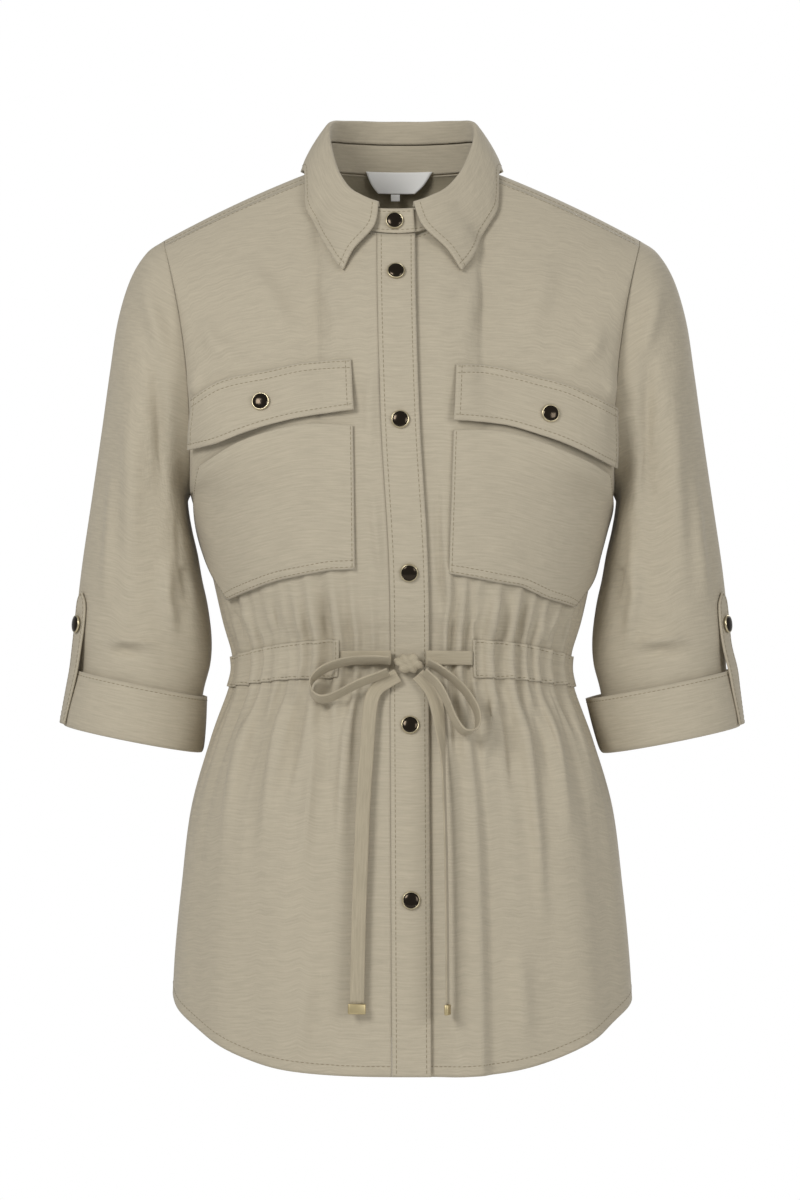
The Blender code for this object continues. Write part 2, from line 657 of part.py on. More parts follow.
CUFF_SHEETS = (
    # share of the way down, inset: the turned-up outside, the fold, then inside; and the other face
    ((0.0, 0.0), (0.5, -0.6), (0.92, 0.0), (1.01, 2.9), (0.92, 5.8), (0.82, 5.8)),
    ((0.0, 2.0), (0.5, 1.4), (0.90, 2.0), (0.955, 2.9), (0.90, 3.8), (0.82, 3.8)),
)
# Soft folds of the sleeves: side, angle at the top and at the bottom, height, width, first and last ring
SLEEVE_FOLDS = (
    (-1, 118.0, 150.0, 3.0, 16.0, 1.0, 9.0),
    (-1, 70.0, 85.0, 2.4, 20.0, 3.0, 8.6),
    (1, 115.0, 148.0, 3.0, 16.0, 1.0, 9.0),
    (1, 140.0, 128.0, -2.6, 10.0, 3.0, 9.0),
    (1, 60.0, 78.0, 2.4, 20.0, 3.0, 8.6),
    (-1, -70.0, -95.0, 3.0, 20.0, 2.0, 8.8),
    (1, -75.0, -90.0, 3.0, 22.0, 2.0, 8.8),
)
SLEEVE_TURNS = ([SEAM_ANGLE + (180.0 - SEAM_ANGLE) * k / FRONT_PATCH_ROWS for k in range(FRONT_PATCH_ROWS + 1)]
                + [-180.0 + 180.0 * k / BACK_PATCH_ROWS for k in range(1, BACK_PATCH_ROWS + 1)])


def ring_point(row, phi, inset=0.0):
    """A point of a ring round the arm and its outward direction: 0 degrees outside, 90 in front."""
    outer_x, outer_z, inner_x, inner_z, half_depth, bow, y = row
    phi = np.radians(phi)
    half_x, half_z = (outer_x - inner_x) / 2, (outer_z - inner_z) / 2
    half = np.hypot(half_x, half_z)
    p = points((outer_x + inner_x) / 2 + half_x * np.cos(phi) - bow * np.sin(phi) ** 2,
               y - half_depth * np.sin(phi), (outer_z + inner_z) / 2 + half_z * np.cos(phi))
    n = points(np.cos(phi) / half * half_x / half, -np.sin(phi) / half_depth,
               np.cos(phi) / half * half_z / half)
    n = n / np.linalg.norm(n, axis=-1, keepdims=True)
    return p - n * np.asarray(inset, float)[..., None]


SLEEVE_CURVES = [tuple((i, row[k]) for i, row in enumerate(SLEEVE_RINGS)) for k in range(7)]


def sleeve_point(side, ring, phi, lift=0.0):
    """A point of a sleeve at any ring, whole or between two, folds included."""
    phi = np.asarray(phi, float)
    row = [smooth(curve, ring) for curve in SLEEVE_CURVES]
    push = np.zeros(np.shape(phi))
    for fold_side, top, bottom, height, width, first, last in SLEEVE_FOLDS:
        if fold_side == side:
            w = (ring - first) / (last - first)
            off = (phi - (top + (bottom - top) * w) + 180.0) % 360.0 - 180.0
            push = push + height * ease(3 * w) * ease(3 * (1 - w)) * np.exp(-(off / width) ** 2)
    p = ring_point(row, phi, -(push + lift))
    p[..., 0] = (p[..., 0] + (SEAM_GAP + 0.4) * (1 - min(ring, 1.0))) * side
    return p


def outward_normals(grid, closed):
    """The normals of a tube's grid of points, turned away from its axis."""
    n = sheet_normals(grid, closed)
    away = grid - grid.mean(axis=1, keepdims=True)
    return n * np.sign(np.sum(n * away, axis=(0, 1, 2)))


def sleeve(side, name):
    rings = [sleeve_point(side, float(ring), np.array(SLEEVE_TURNS)) for ring in range(len(SLEEVE_RINGS))]
    grid = np.stack(rings)
    return wall(name, grid, grid - outward_normals(grid, True) * WALL, closed=True)


def cuff_point(side, down, phi, inset):
    top, bottom = CUFF_RINGS[side]
    row = [a + (b - a) * down for a, b in zip(top, bottom)]
    p = ring_point(row, phi, inset)
    p[..., 0] *= side
    return p


def cuff(side, name):
    turns = np.arange(18) * 20.0
    sheets = [[cuff_point(side, down, turns, inset) for down, inset in sheet] for sheet in CUFF_SHEETS]
    return wall(name, *sheets, closed=True)


# The roll tab: height share along it, angle on the sleeve, half-width, stand-off from the sleeve or cuff
TAB_WALL = 1.6
TAB_ON_SLEEVE = ((7.35, 26.0, 1.5, 0.9), (7.55, 26.0, 8.0, 0.9), (8.0, 25.0, 9.5, 1.1), (8.5, 23.0, 9.5, 3.4))
TAB_ON_CUFF = ((0.0, 21.0, 9.5, 1.6), (0.35, 19.0, 9.5, 1.3), (0.7, 16.0, 9.5, 1.0), (0.97, 14.0, 9.5, 0.9))
TAB_SNAP_ROW = 2


def tab_grid(side):
    """The tab's inner points and the directions square to it."""
    rows = []
    arm = 53.0
    for point_at, table, sign in ((sleeve_point, TAB_ON_SLEEVE, 1.0), (cuff_point, TAB_ON_CUFF, -1.0)):
        for along, phi, half, lift in table:
            turns = phi + np.degrees(np.array([-half, 0.0, half]) / arm)
            rows.append(point_at(side, along, turns, sign * lift))
    grid = np.stack(rows)
    n = sheet_normals(grid)
    return grid, n * np.sign(n[..., :1] * side)


def sleeve_tab(side, name):
    grid, n = tab_grid(side)
    return wall(name, grid, grid + n * TAB_WALL)


# Pockets and flaps: places on the fronts, by x at the edges and heights along them

POCKETS = {
    # side: x inner top, x outer top, x outer mid, x outer bottom, x inner bottom
    -1: {"top": ((37.5, -200.0), (58.0, -199.0), (80.0, -200.0), (105.0, -205.5), (126.0, -212.5), (142.0, -221.0), (156.5, -229.5)),
         "bottom": ((36.0, -310.0), (56.0, -311.0), (76.0, -314.5), (95.0, -318.5), (110.0, -323.5), (123.0, -328.5), (134.0, -333.0))},
    1: {"top": ((39.5, -203.5), (60.0, -203.5), (82.0, -206.0), (105.0, -212.0), (126.0, -219.5), (145.0, -227.0), (160.5, -235.5)),
        "bottom": ((36.0, -313.5), (55.0, -316.5), (75.0, -320.5), (92.0, -323.5), (108.0, -331.0), (121.0, -335.0), (133.0, -338.5))},
}
FLAPS = {
    -1: {"top": ((39.0, -148.5), (60.0, -149.5), (80.0, -151.5), (105.0, -157.0), (125.0, -160.5), (143.0, -165.5), (162.0, -177.0)),
         "bottom": ((36.5, -188.5), (58.0, -191.5), (80.0, -194.5), (103.0, -200.0), (124.0, -206.5), (142.0, -212.5), (162.5, -216.5))},
    1: {"top": ((41.5, -152.5), (62.0, -152.5), (84.0, -156.5), (106.0, -162.0), (127.0, -167.5), (146.0, -175.5), (165.5, -184.0)),
        "bottom": ((39.0, -196.5), (60.0, -198.0), (82.0, -200.5), (105.0, -207.0), (125.0, -213.5), (145.0, -221.5), (163.5, -230.0))},
}
POCKET_ROWS = (0.0, 0.1, 0.25, 0.42, 0.6, 0.8, 1.0)
EDGE_EASE = 1.7             # more ease towards the side, where the body turns away
MIDDLE_EASE = 0.6           # and in the middle, where a filled pocket stands off
POCKET_SWELL = 14.0         # how far the outer edge bows out between its two corners
MOUTH_GAPE = 2.2
FLAP_ROWS = (0.0, 0.3, 0.65, 1.0)
FLAP_STAND_OFF = 4.2


def doubled(edge):
    """An edge's points with one more between each two."""
    at = np.linspace(0, len(edge) - 1, 2 * len(edge) - 1)
    keys = [(i,) + tuple(row) for i, row in enumerate(edge)]
    return np.stack([smooth(keys, at, 1), smooth(keys, at, 2)], axis=-1)


def edged_grid(side, top, bottom, shares, bow, lift_at):
    """Points between a top and a bottom edge on a front, with a lift that varies down and across."""
    top, bottom = (doubled(np.array(edge)) for edge in (top, bottom))
    w = np.array(shares)[:, None]
    across = np.linspace(0, 1, len(top))[None, :]
    x = top[None, :, 0] * (1 - w) + bottom[None, :, 0] * w + bow * 4 * w * (1 - w) * across
    z = top[None, :, 1] * (1 - w) + bottom[None, :, 1] * w
    return [on_front(side, side * x, z, lift_at(w, across) + extra) for extra in (WALL, 0.0)]


def pocket(side, name):
    edges = POCKETS[side]

    def lift_at(w, across):
        gape = MOUTH_GAPE * (1 - ease(w / 0.3)) * np.sin(math.pi * np.clip(across, 0.0, 1.0))
        return EASE + gape + EDGE_EASE * across ** 3 + MIDDLE_EASE * np.sin(math.pi * across) * ease(4 - 4 * w)
    return wall(name, *edged_grid(side, edges["top"], edges["bottom"], POCKET_ROWS, POCKET_SWELL, lift_at))


def flap_lift(w, across):
    """How far a flap stands off, by the shares of the way down and across it."""
    stand_off = FLAP_STAND_OFF * ease(w / 0.9) * (0.75 + 0.25 * np.cos(9 * across))
    return EASE + stand_off + EDGE_EASE * across ** 3 + MIDDLE_EASE * np.sin(math.pi * across)


def pocket_flap(side, name):
    edges = FLAPS[side]
    return wall(name, *edged_grid(side, edges["top"], edges["bottom"], FLAP_ROWS, 0.0, flap_lift))


# Waist casing and drawstring

CASING_START = 6                    # the column where the casing ends on each front


def waist_casing():
    sheets = []
    for lift in (LAY_GAP + WALL, LAY_GAP):
        rows = []
        for level in (3.0, 3.5, 4.0):
            row = []
            for side in (-1, 1):
                front = np.arange(CASING_START, COLUMNS + 1, dtype=float)
                f = skin("front", side, front, np.full(len(front), level), lift, PLACKET_HALF + SEAM_GAP)
                rear = np.arange(COLUMNS, -1 if side < 0 else 0, -1, dtype=float)
                b = skin("back", side, rear, np.full(len(rear), level), lift)
                seam = (f[-1:] + b[:1]) / 2
                part = np.concatenate([f[:-1], seam, b[1:]])
                row.append(part if side < 0 else part[::-1])
            rows.append(np.concatenate(row))
        sheets.append(rows)
    return wall("waist_casing", *sheets)


CORD_WIDTH = 11.0
CORD_WALL = 1.6
KNOT = (5.0, -383.0, 7.1)           # x, z and lift over the smooth front
KNOT_HALF = (12.5, 6.0, 8.5)
JOIN_GAP = 0.5                      # between the knot and each cord that leaves it
RUN_GAP = 1.6                       # the run starts this far inside the casing's end, before its lift
RUN_START_LIFT = 3.6
RUN_END_LIFT = 4.6
RUN_HEIGHT = -378.5


def over_front(x, z, lift):
    """Points in front of the middle of the jacket by x, height and lift over its smooth form."""
    x, z = np.asarray(x, float), np.asarray(z, float)
    drift = smooth(CLOSURE_DRIFT, z) * ease(1 - np.abs(x) / 120.0)
    levels = np.linspace(0.0, 9.0, 200)
    heights = strip_at(np.zeros(200), levels)[:, 2]
    level = np.interp(-z, -heights, levels)
    return strip_at(x - drift, level, lift)


def ribbon(name, middle, across, look=TWILL, width=CORD_WIDTH, thickness=CORD_WALL):
    """A flat cord along points, with the direction of its width given at each."""
    along = np.gradient(middle, axis=0)
    along = along / np.linalg.norm(along, axis=-1, keepdims=True)
    across = across - along * np.sum(across * along, axis=-1, keepdims=True)
    across = across / np.linalg.norm(across, axis=-1, keepdims=True)
    face = np.cross(along, across)
    corners = [(0.5, 0.32), (0.5, -0.32), (0.42, -0.5), (-0.42, -0.5),
               (-0.5, -0.32), (-0.5, 0.32), (-0.42, 0.5), (0.42, 0.5)]
    verts, faces = [], []
    for p, a, f in zip(middle, across, face):
        verts += [p + a * (u * width) + f * (v * thickness) for u, v in corners]
    n = len(corners)
    for i in range(len(middle) - 1):
        for k in range(n):
            a, b = i * n + k, i * n + (k + 1) % n
            faces += [(a, b, b + n), (a, b + n, a + n)]
    faces += [tuple(range(n))[::-1], tuple(range(len(verts) - n, len(verts)))]
    return build(name, verts, faces, look)


def drawstring_run(side, name):
    """The stretch of cord between the casing's end and the knot."""
    end = skin("front", side, float(CASING_START), 3.5, 0.0, PLACKET_HALF + SEAM_GAP)
    x = np.linspace(end[0] - side * RUN_GAP, KNOT[0] + side * (KNOT_HALF[0] + JOIN_GAP), 6)
    w = np.linspace(0, 1, 6)
    p = over_front(x, RUN_HEIGHT + 0 * x, RUN_START_LIFT + (RUN_END_LIFT - RUN_START_LIFT) * w)
    return ribbon(name, p, np.tile([0.0, 0.0, 1.0], (6, 1)))


def bow_knot():
    centre = over_front(*KNOT)
    verts, faces = [], []
    rings, sides = 5, 14
    for i in range(1, rings + 1):
        polar = math.pi * i / (rings + 1)
        for k in range(sides):
            turn = 2 * math.pi * k / sides
            verts.append(centre + np.array(KNOT_HALF) * (math.sin(polar) * math.cos(turn),
                                                         math.sin(polar) * math.sin(turn), math.cos(polar)))
    top, bottom = len(verts), len(verts) + 1
    verts += [centre + np.array([0, 0, KNOT_HALF[2]]), centre - np.array([0, 0, KNOT_HALF[2]])]
    for k in range(sides):
        j = (k + 1) % sides
        faces.append((top, j, k))
        faces.append((bottom, (rings - 1) * sides + k, (rings - 1) * sides + j))
        for i in range(rings - 1):
            a, b = i * sides + k, i * sides + j
            faces += [(a, b, b + sides), (a, b + sides, a + sides)]
    return build("bow_knot", verts, faces)


# Loops of the bow, from the knot out along the upper strand and back along the lower one
LOOPS = {
    # side: x, z and lift of points along the cord
    -1: ((-8.6, -381.0, 12.5), (-22.0, -380.0, 13.0), (-40.0, -381.5, 13.0), (-56.0, -388.0, 13.0),
         (-65.0, -398.0, 12.5), (-65.5, -408.0, 12.0), (-58.0, -413.0, 12.0), (-46.0, -409.0, 12.0),
         (-32.0, -401.0, 12.5), (-18.0, -394.5, 12.5), (-9.8, -390.5, 12.5)),
    1: ((18.6, -382.0, 12.5), (28.0, -388.5, 13.5), (38.0, -398.0, 15.0), (48.0, -411.0, 16.5),
        (54.5, -425.0, 17.5), (53.5, -436.0, 18.0), (45.5, -438.5, 18.0), (38.5, -430.0, 17.5),
        (32.0, -414.0, 16.0), (25.5, -401.0, 14.5), (16.8, -390.6, 12.5)),
}
LOOP_TILT = {-1: (0.0, 0.80, -0.60), 1: (-0.35, 0.85, -0.40)}      # the direction of the cord's width
LOOP_STEPS = 26


def bow_loop(side, name):
    keys = [(i,) + row for i, row in enumerate(LOOPS[side])]
    at = np.linspace(0, len(keys) - 1, LOOP_STEPS)
    middle = over_front(smooth(keys, at, 1), smooth(keys, at, 2), smooth(keys, at, 3))
    return ribbon(name, middle, np.tile(LOOP_TILT[side], (LOOP_STEPS, 1)))


# Free ends: x, z and lift along the middle of the cord, and how far its width has turned from level
TAILS = {
    -1: ((-3.0, -392.6, 5.6, 0.0), (-10.0, -397.0, 5.8, 0.0), (-17.5, -402.5, 6.0, 0.0),
         (-22.0, -410.0, 6.5, 0.0), (-24.0, -422.0, 7.0, 0.1), (-26.0, -451.0, 8.0, 0.15),
         (-28.5, -490.0, 8.5, 0.15), (-30.0, -530.0, 8.5, 0.1), (-31.5, -570.0, 8.5, 0.1),
         (-32.3, -606.0, 8.5, 0.1), (-33.0, -642.0, 8.5, 0.1)),
    1: ((12.0, -391.9, 6.2, 0.0), (18.0, -399.0, 6.0, 0.0), (23.0, -407.0, 6.5, 0.1),
        (26.0, -418.0, 8.0, 0.3), (28.0, -432.0, 10.0, 0.7), (30.0, -458.0, 14.0, 1.3),
        (31.0, -490.0, 17.0, 1.4), (32.0, -530.0, 18.0, 1.4), (32.5, -570.0, 18.0, 1.4),
        (32.8, -606.0, 18.0, 1.4), (33.0, -642.0, 18.0, 1.4)),
}
TAIL_STEPS = 30
TIP_SIZE = (13.5, 3.2, 8.0)


def tail_route(side):
    """The tail's middle line as a smooth curve through its points, and the direction of its width."""
    keys = [(i,) + row for i, row in enumerate(TAILS[side])]
    at = np.linspace(0, len(keys) - 1, TAIL_STEPS)
    middle = over_front(smooth(keys, at, 1), smooth(keys, at, 2), smooth(keys, at, 3))
    turn = smooth(keys, at, 4)
    return middle, np.stack([np.cos(turn), np.sin(turn), 0 * turn], axis=-1)


def drawstring_tail(side, name):
    middle, across = tail_route(side)
    return ribbon(name, middle, across)


def box_solid(name, centre, axes, size, look):
    """A box with chamfered long edges, placed along three directions."""
    verts = []
    corners = [(0.5, 0.3), (0.5, -0.3), (0.44, -0.5), (-0.44, -0.5), (-0.5, -0.3), (-0.5, 0.3),
               (-0.44, 0.5), (0.44, 0.5)]
    for end in (0.5, -0.5):
        verts += [centre + axes[0] * u * size[0] + axes[1] * v * size[1] + axes[2] * end * size[2]
                  for u, v in corners]
    n = len(corners)
    faces = [(k, (k + 1) % n, (k + 1) % n + n, k + n) for k in range(n)]
    faces += [tuple(range(n))[::-1], tuple(range(n, 2 * n))]
    return build(name, verts, faces, look)


def drawstring_tip(side, name):
    middle, across = tail_route(side)
    along = middle[-2] - middle[-1]
    along = along / np.linalg.norm(along)
    a = across[-1] - along * np.dot(across[-1], along)
    a = a / np.linalg.norm(a)
    centre = middle[-1] - along * (TIP_SIZE[2] / 2 + 0.3)
    return box_solid(name, centre, (a, np.cross(along, a), along), TIP_SIZE, TIP_METAL)


# Snaps: a domed cap in a rim, turned about its own axis

SNAP_PROFILE = ((6.4, 0.0), (7.0, 0.7), (6.8, 1.5), (5.9, 1.7), (3.6, 2.6))
SNAP_TOP = 3.0
SNAP_SIDES = 12


def snap(name, seat, axis):
    axis = np.asarray(axis, float) / np.linalg.norm(axis)
    u = np.cross(axis, [0.0, 0.0, 1.0])
    u = u / np.linalg.norm(u)
    v = np.cross(axis, u)
    verts, faces = [], []
    for radius, height in SNAP_PROFILE:
        for k in range(SNAP_SIDES):
            turn = 2 * math.pi * k / SNAP_SIDES
            verts.append(seat + axis * height + (u * math.cos(turn) + v * math.sin(turn)) * radius)
    top = len(verts)
    verts.append(seat + axis * SNAP_TOP)
    n = SNAP_SIDES
    for i in range(len(SNAP_PROFILE) - 1):
        for k in range(n):
            j = (k + 1) % n
            a, b = i * n + k, i * n + j
            faces += [(a, b, b + n), (a, b + n, a + n)]
    last = (len(SNAP_PROFILE) - 1) * n
    faces += [(last + k, last + (k + 1) % n, top) for k in range(n)]
    faces.append(tuple(range(n))[::-1])
    return build(name, verts, faces, SNAP_METAL)


PLACKET_SNAPS = ((1, -79.0), (2, -193.0), (3, -313.0), (4, -430.0), (5, -563.0))
STAND_SNAP_TURN = -1.0
FLAP_SNAPS = {-1: (-108.0, -182.0), 1: (113.0, -191.0)}
SNAP_SEAT = 0.45
CURVE_SEAT = 0.4            # more where the piece below is strongly curved


def level_at(height):
    """The level of the middle line at a height."""
    levels = np.linspace(-1.0, 9.0, 400)
    heights = strip_at(np.zeros(400), levels)[:, 2]
    return float(levels[np.argmin(np.abs(heights - height))])


def placket_snaps():
    for number, height in PLACKET_SNAPS:
        level = level_at(height)
        seat, top = (strip_at(0.0, level, 0.5 + lift) for lift in (SNAP_SEAT, 3.0))
        snap("snap_placket_%d" % number, seat, top - seat)


def stand_snap():
    turn = np.array([360.0 + STAND_SNAP_TURN])
    low = ring_at(turn, 1, NECK_HALF, NECK_FRONT, NECK_BACK)[0]
    high = ring_at(turn, 2, STAND_HALF, STAND_FRONT, STAND_BACK)[0]
    rise = high - low
    axis = np.array([0.0, -rise[2], rise[1]])
    axis = axis / np.linalg.norm(axis)
    out = SNAP_SEAT + CURVE_SEAT - float(stand_tuck(np.array([360.0 + STAND_SNAP_TURN]))[0])
    snap("snap_stand", (low + high) / 2 + axis * out, axis)


def flap_snap(side, name):
    x, z = FLAP_SNAPS[side]
    top, bottom = (np.array(FLAPS[side][key]) for key in ("top", "bottom"))
    high, low = (np.interp(abs(x), edge[:, 0], edge[:, 1]) for edge in (top, bottom))
    across = (abs(x) - top[0, 0]) / (top[-1, 0] - top[0, 0])
    lift = flap_lift((high - z) / (high - low), across) + WALL + SNAP_SEAT
    seat, above = (on_front(side, np.array([x]), np.array([z]), lift + more)[0] for more in (0.0, 3.0))
    snap(name, seat, above - seat)


def tab_snap(side, name):
    grid, n = tab_grid(side)
    axis = n[TAB_SNAP_ROW, 1]
    snap(name, grid[TAB_SNAP_ROW, 1] + axis * (TAB_WALL + SNAP_SEAT + CURVE_SEAT), axis)


# Inside back neck: a bare label and its small tab

LABEL_WALL = 1.0
LABEL_ROUND = (62.5, 58.9)          # the label curves like the neck: half-width and depth of its ring
LABEL_ROWS = ((14.6, -29.5, 25.0), (4.0, -25.0, 18.0), (-3.0, -19.5, 10.5))     # height, left and right end
LABEL_TAB_ROWS = ((-3.5, -9.0, -1.8), (-9.0, -9.0, -1.8))


def hanging_label(name, rows):
    """A flat piece that hangs inside the back neck and follows its curve."""
    half, depth = LABEL_ROUND
    outer = []
    for height, low, high in rows:
        x = np.linspace(low, high, 7)
        outer.append(points(x, depth * np.sqrt(1 - (x / half) ** 2), height))
    inner = [row - points(0, LABEL_WALL, 0) for row in outer]
    return wall(name, outer, inner, look=LABEL_CLOTH)


# Start from an empty scene
for old in list(bpy.data.objects):
    bpy.data.objects.remove(old, do_unlink=True)

front_right()
front_left()
placket()
back()
collar_stand()
collar_leaf()
waist_casing()
bow_knot()
placket_snaps()
stand_snap()
hanging_label("neck_label", LABEL_ROWS)
hanging_label("neck_label_tab", LABEL_TAB_ROWS)
for side, word in ((-1, "right"), (1, "left")):
    sleeve(side, "sleeve_" + word)
    cuff(side, "cuff_" + word)
    sleeve_tab(side, "sleeve_tab_" + word)
    pocket(side, "pocket_" + word)
    pocket_flap(side, "pocket_flap_" + word)
    flap_snap(side, "snap_flap_" + word)
    tab_snap(side, "snap_tab_" + word)
    drawstring_run(side, "drawstring_run_" + word)
    bow_loop(side, "bow_loop_" + word)
    drawstring_tail(side, "drawstring_tail_" + word)
    drawstring_tip(side, "drawstring_tip_" + word)
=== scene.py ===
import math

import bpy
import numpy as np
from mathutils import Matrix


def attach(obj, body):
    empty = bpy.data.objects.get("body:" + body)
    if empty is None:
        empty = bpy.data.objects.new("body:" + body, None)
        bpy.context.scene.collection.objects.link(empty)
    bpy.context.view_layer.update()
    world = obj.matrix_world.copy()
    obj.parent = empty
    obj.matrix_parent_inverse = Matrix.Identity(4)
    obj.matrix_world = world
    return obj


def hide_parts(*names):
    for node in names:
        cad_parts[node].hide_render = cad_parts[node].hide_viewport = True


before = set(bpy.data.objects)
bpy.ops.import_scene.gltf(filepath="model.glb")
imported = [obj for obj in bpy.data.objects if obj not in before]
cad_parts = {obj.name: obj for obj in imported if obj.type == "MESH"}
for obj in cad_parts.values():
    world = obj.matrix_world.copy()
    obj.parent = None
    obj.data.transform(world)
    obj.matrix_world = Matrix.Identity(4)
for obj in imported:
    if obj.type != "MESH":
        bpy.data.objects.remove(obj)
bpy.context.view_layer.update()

# %% [markdown]
# A light khaki cargo jacket with a drawn waist, filled out as if someone stood in it, but hollow.
# Its plain solids are there already. This script dresses them: each piece of cloth is drawn again from
# the same form functions at a finer step, thinner, and with the creases, gathers and stitches that a solid
# can't hold. Sculpting would be quicker, but functions keep every piece exactly where its solid is.
#
# The camera comes first. The picture looks level at the waist from three metres, as a studio picture of
# clothes does: a long lens keeps the sleeves from looking larger than they are.

CAMERA_AT = (-0.0016, -3.0, -0.334)
FRAME_HEIGHT = 0.96          # what the picture's long side takes in at the jacket's middle
SENSOR = 36.0

camera_data = bpy.data.cameras.new("camera")
camera = bpy.data.objects.new("camera", camera_data)
bpy.context.scene.collection.objects.link(camera)
camera.location = CAMERA_AT
camera.rotation_euler = (math.radians(90), 0, 0)
camera_data.sensor_width = SENSOR
camera_data.lens = SENSOR * -CAMERA_AT[1] / FRAME_HEIGHT
bpy.context.scene.camera = camera
print("the lens is", round(camera_data.lens, 1), "mm")

# %% [markdown]
# A pattern maker starts from a table of body measures at set levels, and so does this model. The sizes
# are the solids' own, in millimetres, and MM turns them to Blender's metres where a mesh is made. A cage
# or a sculpt could hold the same form, but numbers can be read off the picture and changed one by one.

# %% Cloth and gaps
MM = 0.001
WALL = 1.5                  # panels, sleeves, pockets
SEAM_GAP = 0.1              # between two sewn edges; they close up in the cloth
LAY_GAP = 0.5               # between a panel and a piece whose points follow it
EASE = 0.65                 # between a panel and a piece with points of its own
print("the solids' panels are", WALL, "mm thick")

# %% Level sections
ROUNDNESS = 2.3             # exponent of the body's sections: 2 is an ellipse
PLACKET_HALF = 15.0
ARMHOLE_TIP = (190.0, -2.0, -47.0)
ARMPIT = (169.0, 0.0, -250.0)
ARMHOLE_HALF_DEPTH = 58.0
ARMHOLE_BOW = 10.0          # how far the armhole curves in towards the chest
SEAM_ANGLE = 18.0           # the shoulder seam lies this far in front of the ridge, in degrees
NECK_COLUMN = 22.5          # section angle of the corner between neckline and shoulder

# Level sections from the chest down: height at front, side and back, half-width, front and back depth
LEVELS = (
    # name             z_front z_side z_back half_w  y_front y_back
    ("chest",           -250,  -250,  -250,  169.0, -122.0,  92.0),
    ("under_bust",      -300,  -304,  -302,  154.0, -118.0,  88.0),
    ("blouse",          -342,  -352,  -346,  141.5, -110.0,  84.0),
    ("casing_top",      -364,  -379,  -372,  133.5, -104.0,  80.0),
    ("casing_bottom",   -394,  -404,  -400,  136.0, -104.0,  80.0),
    ("high_hip",        -436,  -446,  -442,  152.0, -113.0,  92.0),
    ("hip",             -500,  -500,  -500,  168.0, -124.0, 105.0),
    ("thigh",           -580,  -566,  -578,  176.5, -132.0, 114.0),
    ("low_thigh",       -650,  -612,  -650,  181.0, -137.0, 120.0),
    ("hem",             -698,  -646,  -698,  183.0, -140.0, 124.0),
)
HEM_RISE = 3.6              # exponent of the rise of the lower rows towards the side seam
print(len(LEVELS), "level sections from the chest to the hem")

# %% Centre lines and neck
# Centre lines from the chest up to the neckline, by the share of the way up
CENTRE_FRONT = ((0.0, -122.0, -250.0), (0.2, -120.0, -210.0), (0.45, -112.0, -159.0),
                (0.7, -98.0, -109.0), (1.0, -68.0, -48.0))
CENTRE_BACK = ((0.0, 92.0, -250.0), (0.25, 97.0, -188.0), (0.5, 98.0, -124.0),
               (0.75, 88.0, -62.0), (1.0, 69.0, -1.0))

# Heights round the neck by the angle from centre front: neckline, top of the stand, roll line
NECK_HEIGHTS = (
    # angle  neckline  stand_top  roll
    (0.0,    -48.0,    -27.5,   -23.5),
    (12.0,   -47.0,    -27.0,   -22.5),
    (27.0,   -41.5,    -22.0,   -16.5),
    (39.0,   -34.0,    -15.0,   -10.0),
    (58.0,   -17.0,      2.0,     8.5),
    (75.0,     2.5,     21.0,    28.0),
    (90.0,    10.0,     30.0,    43.0),
    (105.0,   11.5,     33.5,    50.0),
    (130.0,   12.0,     35.5,    54.0),
    (180.0,   12.0,     36.5,    56.0),
)
NECK_HALF = 66.0
NECK_FRONT = 68.0
NECK_BACK = 62.0
print("the neckline is", 2 * NECK_HALF, "mm wide and", NECK_FRONT + NECK_BACK, "mm deep")

# %% Closure, gathers and skirt folds
# Drift of the closure from the middle, by height
CLOSURE_DRIFT = ((-700.0, 7.6), (-560.0, 6.9), (-430.0, 6.2), (-313.0, 5.4), (-193.0, -1.5),
                 (-81.0, -4.6), (60.0, -4.0))

# Gathers: half the depth of a gather by level, and the columns of points that carry them
GATHER_DEPTH = ((0.0, 0.0), (1.0, 0.25), (2.0, 1.2), (3.0, 1.9), (3.5, 1.6), (4.0, 1.9),
                (4.5, 1.7), (5.0, 1.1), (6.0, 0.4), (9.0, 0.0))
COLUMNS = 24                # from the closure, or from centre back, to the side seam
NECK_INDEX = 6              # the column that runs to the corner of the neckline

# Levels run down from the chest at 0 to the hem at 9. Above the chest 0 to -1 is the patch to the shoulder,
# and -1 to -2 the back's strip over the ridge. The patch has this many rows of points in the solids
FRONT_PATCH_ROWS = 8
BACK_PATCH_ROWS = 9

# Long folds of the skirt: side, column at the top and at the hem, height, width in columns, top level
SKIRT_FOLDS = (
    # side face     c_top c_hem height width level
    (-1, "front",   9.0,  8.0,  5.0,  2.0,  4.0),
    (-1, "front",  14.0, 13.0,  3.5,  2.6,  4.2),
    (-1, "front",  19.5, 18.5,  3.0,  2.4,  4.4),
    (1,  "front",  12.5, 14.0,  4.5,  2.2,  4.0),
    (1,  "front",  18.0, 19.5,  3.5,  2.4,  4.2),
    (-1, "back",    4.0,  5.0,  4.5,  2.4,  4.0),
    (-1, "back",   12.0, 13.0,  5.0,  2.2,  4.1),
    (-1, "back",   19.0, 19.0,  3.0,  2.4,  4.3),
    (1,  "back",    7.0,  6.5,  4.5,  2.2,  4.0),
    (1,  "back",   14.5, 15.0,  4.0,  2.6,  4.2),
    (1,  "back",   20.0, 20.0,  3.0,  2.0,  4.4),
)
STEP_COLUMN = 5.0           # the pressed fold in the left skirt: cloth in front of it stands proud
STEP_HEIGHT = 8.0
print(len(SKIRT_FOLDS), "long folds in the skirt")

# %% [markdown]
# Cloth has no corner between two measures, so a table is read through a smooth curve, column by column.
# A spline library would do, but these few lines need none and keep the curve on the table's own values.

